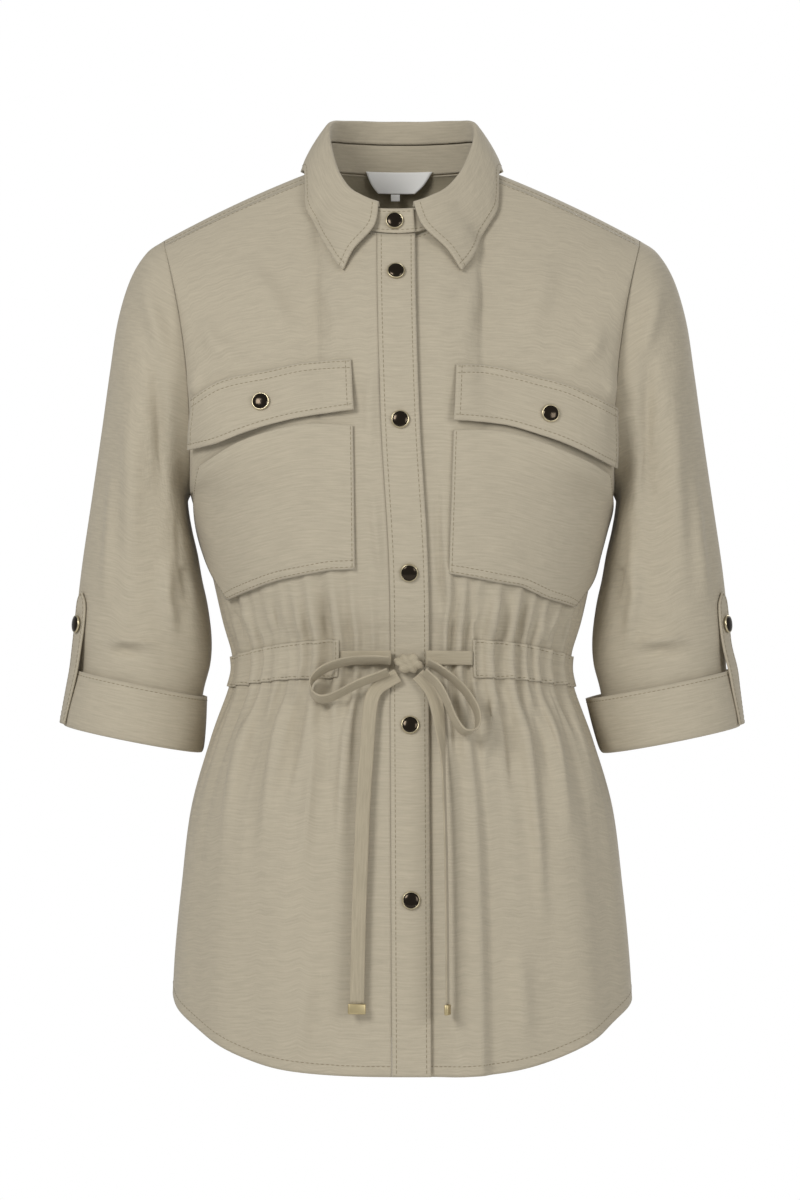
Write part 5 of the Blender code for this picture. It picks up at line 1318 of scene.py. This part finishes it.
def sleeve_point(side, ring, phi, lift=0.0):
    """A point of a sleeve at any ring, whole or between two, folds included."""
    phi = np.asarray(phi, float)
    row = [smooth(curve, ring) for curve in SLEEVE_CURVES]
    push = np.zeros(np.shape(phi))
    for fold_side, top, bottom, height, width, first, last in SLEEVE_FOLDS:
        if fold_side == side:
            w = (ring - first) / (last - first)
            off = (phi - (top + (bottom - top) * w) + 180.0) % 360.0 - 180.0
            push = push + height * ease(3 * w) * ease(3 * (1 - w)) * np.exp(-(off / width) ** 2)
    p = ring_point(row, phi, -(push + lift))
    p[..., 0] = (p[..., 0] + SEAM_GAP * (1 - min(ring, 1.0))) * side
    return p


def cuff_point(side, down, phi, inset):
    """A point of a cuff by the share of the way down it, the angle and how far in it lies."""
    top, bottom = CUFF_RINGS[side]
    row = [a + (b - a) * down for a, b in zip(top, bottom)]
    p = ring_point(row, phi, inset)
    p[..., 0] *= side
    return p


print("the left cuff's outer edge is at", cuff_point(1, 1.0, 0.0, 0.0).round(1))

# %% Tab's form
# Ring or share of the cuff, angle, half-width and stand-off of each row
TAB_WALL = 1.6
ARM = 53.0                   # radius that turns the tab's width into an angle
TAB_ON_SLEEVE = ((7.35, 26.0, 1.5, 0.9), (7.55, 26.0, 8.0, 0.9), (8.0, 25.0, 9.5, 1.1),
                 (8.5, 23.0, 9.5, 3.4))
TAB_ON_CUFF = ((0.0, 21.0, 9.5, 1.6), (0.35, 19.0, 9.5, 1.3), (0.7, 16.0, 9.5, 1.0),
               (0.97, 14.0, 9.5, 0.9))
TAB_SNAP_ROW = 2


def tab_grid(side):
    """The tab's inner points and the directions square to it."""
    rows = []
    for point_at, table, sign in ((sleeve_point, TAB_ON_SLEEVE, 1.0), (cuff_point, TAB_ON_CUFF, -1.0)):
        for along, phi, half, lift in table:
            turns = phi + np.degrees(np.array([-half, 0.0, half]) / ARM)
            rows.append(point_at(side, along, turns, sign * lift))
    grid = np.stack(rows)
    n = sheet_normals(grid)
    return grid, n * np.sign(n[..., :1] * side)


print("a tab has", len(TAB_ON_SLEEVE) + len(TAB_ON_CUFF), "rows")

# %% Sleeves, cuffs and tabs
SLEEVE_FINER, CUFF_FINER, TAB_FINER = (14, 7), (7, 7), (6, 6)
CUFF_SIDES = 18
TAB_CLOTH = 1.4              # two thin layers
INSIDE_CUFF = np.array([100.0, 0.0, -400.0])
for side, word in SIDES:
    rings = np.stack([sleeve_point(side, float(ring), SLEEVE_TURNS) for ring in range(len(SLEEVE_RINGS))])
    tube = refine(rings, *SLEEVE_FINER, closed=True)
    centres = tube.mean(axis=1, keepdims=True)
    n = sheet_normals(tube)
    n = n * np.sign(np.sum(n * (tube - centres)))
    tube = creased(tube, n, SLEEVE_FRONT_STROKES, SLEEVE_BACK_STROKES, SLEEVE_GAIN)
    cloth("sleeve_" + word, tube, centres, CLOTH_WALL, inner=twill_inside_painted_shade, closed=True,
          level_row=-1)
    turns = np.arange(CUFF_SIDES) * (360.0 / CUFF_SIDES)
    band = np.stack([cuff_point(side, down, turns, inset) for down, inset in CUFF_FACE])
    band = refine(band, *CUFF_FINER, closed=True)
    centres = band.mean(axis=1, keepdims=True)
    cloth("cuff_" + word, band, centres, STRIP_WALL, closed=True)
    grid, n = tab_grid(side)
    tab = refine(grid + n * TAB_WALL, *TAB_FINER)
    cloth("sleeve_tab_" + word, tab, INSIDE_CUFF * [side, 1, 1], TAB_CLOTH)

# %% [markdown]
# Patch pockets are sewn on the fronts along three sides. Worn in, they stand off a little in the middle
# and gape at the mouth, and the flap hangs over it. They are the front's own skin moved out, between a
# top and a bottom edge whose points are read off the picture, so they follow the chest's curve.

# %% Edges of pockets and flaps
POCKETS = {
    # side: x away from the middle and z, from the closure to the side
    -1: {"top": ((37.5, -200.0), (58.0, -199.0), (80.0, -200.0), (105.0, -205.5),
                 (126.0, -212.5), (142.0, -221.0), (156.5, -229.5)),
         "bottom": ((36.0, -310.0), (56.0, -311.0), (76.0, -314.5), (95.0, -318.5),
                    (110.0, -323.5), (123.0, -328.5), (134.0, -333.0))},
    1: {"top": ((39.5, -203.5), (60.0, -203.5), (82.0, -206.0), (105.0, -212.0),
                (126.0, -219.5), (145.0, -227.0), (160.5, -235.5)),
        "bottom": ((36.0, -313.5), (55.0, -316.5), (75.0, -320.5), (92.0, -323.5),
                   (108.0, -331.0), (121.0, -335.0), (133.0, -338.5))},
}
FLAPS = {
    -1: {"top": ((39.0, -148.5), (60.0, -149.5), (80.0, -151.5), (105.0, -157.0),
                 (125.0, -160.5), (143.0, -165.5), (162.0, -177.0)),
         "bottom": ((36.5, -188.5), (58.0, -191.5), (80.0, -194.5), (103.0, -200.0),
                    (124.0, -206.5), (142.0, -212.5), (162.5, -216.5))},
    1: {"top": ((41.5, -152.5), (62.0, -152.5), (84.0, -156.5), (106.0, -162.0),
                (127.0, -167.5), (146.0, -175.5), (165.5, -184.0)),
        "bottom": ((39.0, -196.5), (60.0, -198.0), (82.0, -200.5), (105.0, -207.0),
                   (125.0, -213.5), (145.0, -221.5), (163.5, -230.0))},
}
POCKET_ROWS = (0.0, 0.1, 0.25, 0.42, 0.6, 0.8, 1.0)
EDGE_EASE = 1.7             # more ease towards the side, where the body turns away
MIDDLE_EASE = 0.6           # and in the middle, where a filled pocket stands off
POCKET_SWELL = 14.0         # how far the outer edge bows out between its two corners
MOUTH_GAPE = 2.2
FLAP_ROWS = (0.0, 0.3, 0.65, 1.0)
FLAP_STAND_OFF = 4.2
print("the right pocket's mouth is", POCKETS[-1]["top"][-1][0] - POCKETS[-1]["top"][0][0], "mm wide")

# %% Form of pockets and flaps
FLAP_WAVE = (0.75, 0.25, 9.0)          # mean, share and pace of the wave in a flap's stand-off
GAPE_REACH = 0.3                       # the share of a pocket's height over which it closes again


def doubled(edge):
    """An edge's points with one more between each two."""
    at = np.linspace(0, len(edge) - 1, 2 * len(edge) - 1)
    keys = [(i,) + tuple(row) for i, row in enumerate(edge)]
    return np.stack([smooth(keys, at, 1), smooth(keys, at, 2)], axis=-1)


def edged_grid(side, top, bottom, shares, bow, lift_at):
    """Points between a top and a bottom edge on a front, with a lift that varies down and across."""
    top, bottom = (doubled(np.array(edge)) for edge in (top, bottom))
    w = np.array(shares)[:, None]
    across = np.linspace(0, 1, len(top))[None, :]
    x = top[None, :, 0] * (1 - w) + bottom[None, :, 0] * w + bow * 4 * w * (1 - w) * across
    z = top[None, :, 1] * (1 - w) + bottom[None, :, 1] * w
    return on_front(side, side * x, z, lift_at(w, across) + WALL)


def flap_lift(w, across):
    """How far a flap stands off, by the shares of the way down and across it."""
    mean, share, pace = FLAP_WAVE
    stand_off = FLAP_STAND_OFF * ease(w / 0.9) * (mean + share * np.cos(pace * across))
    return EASE + stand_off + EDGE_EASE * across ** 3 + MIDDLE_EASE * np.sin(math.pi * across)


def pocket_lift(w, across):
    """How far a pocket stands off: it gapes at its mouth and swells in its middle."""
    gape = MOUTH_GAPE * (1 - ease(w / GAPE_REACH)) * np.sin(math.pi * np.clip(across, 0.0, 1.0))
    middle = MIDDLE_EASE * np.sin(math.pi * across) * ease(4 - 4 * w)
    return EASE + gape + EDGE_EASE * across ** 3 + middle


print("a flap's lower edge stands off by", round(float(flap_lift(1.0, 0.5)), 1), "mm in its middle")

# %% Pockets and flaps
PATCH_FINER = (9, 5)
for side, word in SIDES:
    edges = POCKETS[side]
    outer = edged_grid(side, edges["top"], edges["bottom"], POCKET_ROWS, POCKET_SWELL, pocket_lift)
    cloth("pocket_" + word, refine(outer, *PATCH_FINER), AXIS, CLOTH_WALL)
    edges = FLAPS[side]
    outer = edged_grid(side, edges["top"], edges["bottom"], FLAP_ROWS, 0.0, flap_lift)
    cloth("pocket_flap_" + word, refine(outer, *PATCH_FINER), AXIS, CLOTH_WALL)

# %% [markdown]
# The casing is a band sewn on at the waist, from one side of the closure round the back to the other. The
# cord runs inside it and gathers the panel and the band together. It takes the panels' own skin and
# waves, moved out by one wall, so it can't cut through them.

# %% Waist casing
CASING_LEVELS = (3.0, 4.0)
CASING_ROWS = 22
CASING_WALL = 1.2
SUNK = 0.1                   # a little less than one wall out, so that no light shows under its edges
rows = np.linspace(*CASING_LEVELS, CASING_ROWS)[:, None]
fronts = np.linspace(CASING_START, COLUMNS, (COLUMNS - CASING_START) * STEP + 1)[None, :]
rears = np.linspace(COLUMNS, 0, COLUMNS * STEP + 1)[None, :]
lift = LAY_GAP + WALL - SUNK
parts = []
for side in (-1, 1):
    f = skin("front", side, fronts + 0 * rows, rows + 0 * fronts, lift + 0 * rows + 0 * fronts, EDGE)
    b = skin("back", side, rears + 0 * rows, rows + 0 * rears, lift + 0 * rows + 0 * rears)
    seam = (f[:, -1:] + b[:, :1]) / 2
    parts.append(np.concatenate([f[:, :-1], seam, b[:, 1:]], axis=1))
casing = np.concatenate([parts[0][:, :-1], parts[1][:, ::-1]], axis=1)
casing = gathered(casing, facing_out(casing, AXIS))
cloth("waist_casing", casing, AXIS, CASING_WALL)

# %% [markdown]
# A snap's cap is a dark dome pressed into a pale rim. Turned parts are made best by turning: a profile of
# radius and height is run round its axis, once for the cap and once for the rim. Six close the front,
# one each flap and one each tab. They are shown closed.

# %% Snap sizes and places
PLACKET_SNAPS = ((1, -79.0), (2, -193.0), (3, -313.0), (4, -430.0), (5, -563.0))
STAND_SNAP_TURN = -1.0
FLAP_SNAPS = {-1: (-108.0, -182.0), 1: (113.0, -191.0)}
SNAP_SEAT = 0.45            # a snap's rim stands this far over the cloth
CURVE_SEAT = 0.4            # more where the piece below is strongly curved


def level_at(height):
    """The level of the middle line at a height."""
    levels = np.linspace(-1.0, 9.0, 400)
    heights = strip_at(np.zeros(400), levels)[:, 2]
    return float(levels[np.argmin(np.abs(heights - height))])


print("the top snap of the strip is at level", round(level_at(PLACKET_SNAPS[0][1]), 2))

# %% Turned snaps
# Radius and height, from the middle of the dome out, and round the rim from its inner edge
CAP_PROFILE = ((0.0, 2.95), (1.6, 2.88), (3.4, 2.68), (5.0, 2.28), (6.0, 1.78), (6.15, 1.4))
RIM_PROFILE = ((5.9, 1.5), (6.3, 1.8), (6.7, 1.65), (7.0, 1.2), (7.05, 0.7), (6.6, 0.05), (5.0, 0.0))
TURNED_SIDES = 40


def turned(name, profile, seat_at, axis, look):
    """A profile of radius and height, turned about an axis."""
    u = np.cross(axis, [0.0, 0.0, 1.0])
    u = u / np.linalg.norm(u)
    v = np.cross(axis, u)
    turn = np.linspace(0, 2 * math.pi, TURNED_SIDES, endpoint=False)
    rows = [seat_at + axis * height + radius * (np.cos(turn)[:, None] * u + np.sin(turn)[:, None] * v)
            for radius, height in profile]
    verts = np.concatenate(rows)
    index = np.arange(len(verts)).reshape(len(profile), TURNED_SIDES)
    after = np.roll(index, -1, axis=1)
    quads = np.stack([index[:-1], index[1:], after[1:], after[:-1]], axis=-1).reshape(-1, 4)
    return mesh_of(name, verts, quads, look)


def snap(name, seat_at, above):
    """A closed snap seated at a point, its axis towards another point above it."""
    axis = np.asarray(above, float) - seat_at
    axis = axis / np.linalg.norm(axis)
    cap = turned(name + "_cap", CAP_PROFILE, seat_at, axis, snap_cap)
    rim = turned(name + "_rim", RIM_PROFILE, seat_at, axis, snap_rim)
    seat(cap, "snap_metal", name)
    seat(rim, "snap_metal", name)


print("a snap is", 2 * max(radius for radius, height in RIM_PROFILE), "mm across")

# %% Snaps of the closure
STRIP_FACE = 0.5             # lift of the strip's face
for number, height in PLACKET_SNAPS:
    level = level_at(height)
    seat_at = strip_at(0.0, level, STRIP_FACE + SNAP_SEAT)
    snap("snap_placket_%d" % number, seat_at, strip_at(0.0, level, STRIP_FACE + 3.0))
turn = np.array([360.0 + STAND_SNAP_TURN])
below = ring_at(turn, 1, NECK_HALF, NECK_FRONT, NECK_BACK)[0]
above = ring_at(turn, 2, STAND_HALF, STAND_FRONT, STAND_BACK)[0]
axis = np.array([0.0, -(above - below)[2], (above - below)[1]])
axis = axis / np.linalg.norm(axis)
seat_at = (below + above) / 2 + axis * (SNAP_SEAT + CURVE_SEAT - float(stand_tuck(turn)[0]))
snap("snap_stand", seat_at, seat_at + axis)
print(len(PLACKET_SNAPS) + 1, "snaps on the closure")

# %% Snaps of flaps and tabs
for side, word in SIDES:
    x, z = FLAP_SNAPS[side]
    top, bottom = (np.array(FLAPS[side][key]) for key in ("top", "bottom"))
    upper, lower = (np.interp(abs(x), edge[:, 0], edge[:, 1]) for edge in (top, bottom))
    share = (abs(x) - top[0, 0]) / (top[-1, 0] - top[0, 0])
    lift = flap_lift((upper - z) / (upper - lower), share) + WALL + SNAP_SEAT
    ends = [on_front(side, np.array([x]), np.array([z]), lift + more)[0] for more in (0.0, 3.0)]
    snap("snap_flap_" + word, *ends)
    grid, n = tab_grid(side)
    seat_at = grid[TAB_SNAP_ROW, 1] + n[TAB_SNAP_ROW, 1] * (TAB_WALL + SNAP_SEAT + CURVE_SEAT)
    snap("snap_tab_" + word, seat_at, seat_at + n[TAB_SNAP_ROW, 1])
print("four more on flaps and tabs")

# %% [markdown]
# A label of white satin tape is sewn inside the back neck, with a small tab below it. It carries nothing
# here. It is a flat trapezoid bent to the neck's oval.

# %% Neck label
LABEL_ROUND = (62.5, 58.9)          # the label curves like the neck: half-width and depth of its ring
LABEL_ROWS = ((14.6, -29.5, 25.0), (4.0, -25.0, 18.0), (-3.0, -19.5, 10.5))     # height, left and right end
LABEL_TAB_ROWS = ((-3.5, -9.0, -1.8), (-9.0, -9.0, -1.8))
LABEL_COLUMNS = 7
LABEL_FINER = (8, 4)
SATIN_WALL = 0.8

half, depth = LABEL_ROUND
for name, table, held in (("neck_label_tab", LABEL_TAB_ROWS, None), ("neck_label", LABEL_ROWS, "hung")):
    rows = []
    for height, first, last in table:
        x = np.linspace(first, last, LABEL_COLUMNS)
        rows.append(points(x, depth * np.sqrt(1 - (x / half) ** 2), height))
    piece = cloth(name, refine(np.stack(rows), *LABEL_FINER), AXIS, SATIN_WALL,
                  look=label_cloth)

# %% [markdown]
# Topstitching holds the edges flat and is what makes cloth read as sewn. Each line runs at a set distance
# from an edge of its piece. A dotted texture would look flat where light rakes over it, so every stitch
# is a small raised lozenge of its own, and all the seams of a piece are one mesh.

# %% Lines of stitches
STITCH = 3.0                 # length of a stitch
STITCH_STEP = 3.9            # from the start of one to the next
THREAD_HALF = 0.32           # half a stitch's width; drawn twice as thick as thread, so that it shows
THREAD_RISE = 0.28           # height of a stitch over its edges
SINK = -0.1                  # a stitch's ends dip into the cloth by this
ARCH = 0.1                   # and its middle stands off by this
NARROW = 0.5                 # share of the width that its ends have
FIRST_STITCH = 1.0           # distance of the first stitch from the line's start
TINY = 1e-6                  # keeps a length of nought from being divided by


def inset_line(name, edge, inset):
    """Points and normals along a piece's edge, a set distance in from it."""
    grid, n = made_cloth[name]
    if edge in ("first", "last"):
        grid, n = np.swapaxes(grid, 0, 1), np.swapaxes(n, 0, 1)
    if edge in ("bottom", "last"):
        grid, n = grid[::-1], n[::-1]
    far = lengths(grid, 0)
    line, ups = [], []
    for k in range(grid.shape[1]):
        i = int(np.clip(np.searchsorted(far[:, k], inset), 1, len(far) - 1))
        w = (inset - far[i - 1, k]) / (far[i, k] - far[i - 1, k])
        w = min(max(w, 0.0), 1.0)
        line.append(grid[i - 1, k] * (1 - w) + grid[i, k] * w)
        ups.append(n[i - 1, k] * (1 - w) + n[i, k] * w)
    return np.array(line), np.array(ups)


def sew(name, *seams):
    """Stitches along seams, each a piece, its edge and the distance from it, joined in one mesh."""
    verts, faces = [], []
    for line, n in (inset_line(*seam) for seam in seams):
        far = np.concatenate([[0], np.cumsum(np.linalg.norm(np.diff(line, axis=0), axis=-1))])
        for start in np.arange(FIRST_STITCH, far[-1] - STITCH, STITCH_STEP):
            a, b = (np.array([np.interp(start + on, far, line[:, k]) for k in range(3)])
                    for on in (0.0, STITCH))
            up = np.array([np.interp(start, far, n[:, k]) for k in range(3)])
            up = up / max(np.linalg.norm(up), TINY)
            wide = np.cross(b - a, up)
            wide = wide / max(np.linalg.norm(wide), TINY)
            first = len(verts)
            for p, spread, bulge in ((a, NARROW, SINK), ((a + b) / 2, 1.0, ARCH), (b, NARROW, SINK)):
                for u, v in ((-1, 0), (0, 1), (1, 0)):
                    verts.append(p + wide * u * THREAD_HALF * spread + up * (bulge + v * THREAD_RISE))
            for step in (0, 3):
                for k in (0, 1):
                    i = first + step + k
                    faces.append((i, i + 1, i + 4, i + 3))
    piece = mesh_of(name, verts, faces, thread)
    print(name, len(faces) // 4, "stitches")
    return seat(piece, "twill")


print("a stitch every", STITCH_STEP, "mm")

# %% Topstitching
# The distances are those of the real seams, in millimetres: close to an edge, or a presser foot away
sew("stitches_closure", ("placket", "first", 3.5), ("placket", "last", 3.5),
    ("collar_stand", "top", 2.5), ("collar_stand", "bottom", 2.5))
sew("stitches_collar", *(("collar_leaf", edge, 5.0) for edge in ("bottom", "first", "last")))
for side, word in SIDES:
    flap, pocket, tab = "pocket_flap_" + word, "pocket_" + word, "sleeve_tab_" + word
    sew("stitches_flap_" + word, (flap, "top", 1.8), (flap, "top", 7.2), (flap, "bottom", 4.5),
        (flap, "first", 4.5), (flap, "last", 4.5))
    sew("stitches_pocket_" + word, (pocket, "bottom", 2.0), (pocket, "first", 2.0),
        (pocket, "last", 2.0), (pocket, "bottom", 7.0))
    sew("stitches_front_" + word, ("front_" + word, "bottom", 8.0), ("front_" + word, "top", 2.5))
    sew("stitches_sleeve_" + word, (tab, "first", 2.5), (tab, "last", 2.5), (tab, "top", 2.5),
        ("cuff_" + word, "top", 3.0))
sew("stitches_back", ("back", "bottom", 8.0), ("back", "top", 3.0))
sew("stitches_casing", ("waist_casing", "top", 2.0), ("waist_casing", "bottom", 2.0),
    ("waist_casing", "first", 2.5), ("waist_casing", "last", 2.5))

# %% [markdown]
# A studio lights clothes with large soft panels: the key from the upper left draws the folds, the fill
# keeps the shadows open and one behind lifts the edges. White surroundings do the rest. The jacket is
# held up, so the plain pale floor lies far below the hem, out of the picture.

# %% Lights
def softbox(name, seat_at, aim, size, power):
    """A square area light at a place, turned to another, with its side in metres and power in watts."""
    data = bpy.data.lights.new(name, "AREA")
    data.shape = "SQUARE"
    data.size = size
    data.energy = power
    made = bpy.data.objects.new(name, data)
    bpy.context.scene.collection.objects.link(made)
    made.location = seat_at
    away = np.array(seat_at, float) - np.array(aim, float)
    made.rotation_euler = (math.atan2(math.hypot(away[0], away[1]), away[2]), 0,
                           math.atan2(away[0], -away[1]))
    print(name, power, "W")


softbox("key", (-1.5, -2.2, 0.9), (0, 0, -0.35), 1.0, 40.0)
softbox("fill", (1.7, -2.0, 0.1), (0, 0, -0.4), 1.0, 17.0)
softbox("back_light", (0.9, 2.2, 1.0), (0, 0, -0.3), 1.4, 26.0)

# %% Surroundings and floor
AMBIENT = 0.38               # the surroundings light the jacket this much, and are seen as white
WHITE = linear("#FFFFFF")
world = bpy.data.worlds.new("studio")
bpy.context.scene.world = world
world.use_nodes = True
tree = world.node_tree
ambient = tree.nodes["Background"]
ambient.inputs["Color"].default_value = WHITE
ambient.inputs["Strength"].default_value = AMBIENT
seen = add(tree, "ShaderNodeBackground", None, {"Color": WHITE, "Strength": 1.0})
eye = add(tree, "ShaderNodeLightPath")
mixed = add(tree, "ShaderNodeMixShader", None, None,
            {0: eye.outputs["Is Camera Ray"], 1: ambient.outputs[0], 2: seen.outputs[0]})
tree.links.new(mixed.outputs[0], tree.nodes["World Output"].inputs["Surface"])

# Uncoated background paper off the roll: white, quite matt, with no reflection of the jacket
paper = new_material("white paper", Base_Color=linear("#F1F1F1"), Roughness=0.9)[0]
FLOOR = -1250.0              # the floor's height; the jacket is held up well above it
FLOOR_RADIUS = 1900.0
FLOOR_SIDES = 96
turn = np.linspace(0, 2 * math.pi, FLOOR_SIDES, endpoint=False)
rim = points(FLOOR_RADIUS * np.cos(turn), FLOOR_RADIUS * np.sin(turn), FLOOR + 0 * turn)
floor = mesh_of("paper_floor", rim, [list(range(len(rim)))], paper)
bpy.context.scene.view_settings.view_transform = "Standard"
print("the floor is", -FLOOR, "mm below the shoulders")
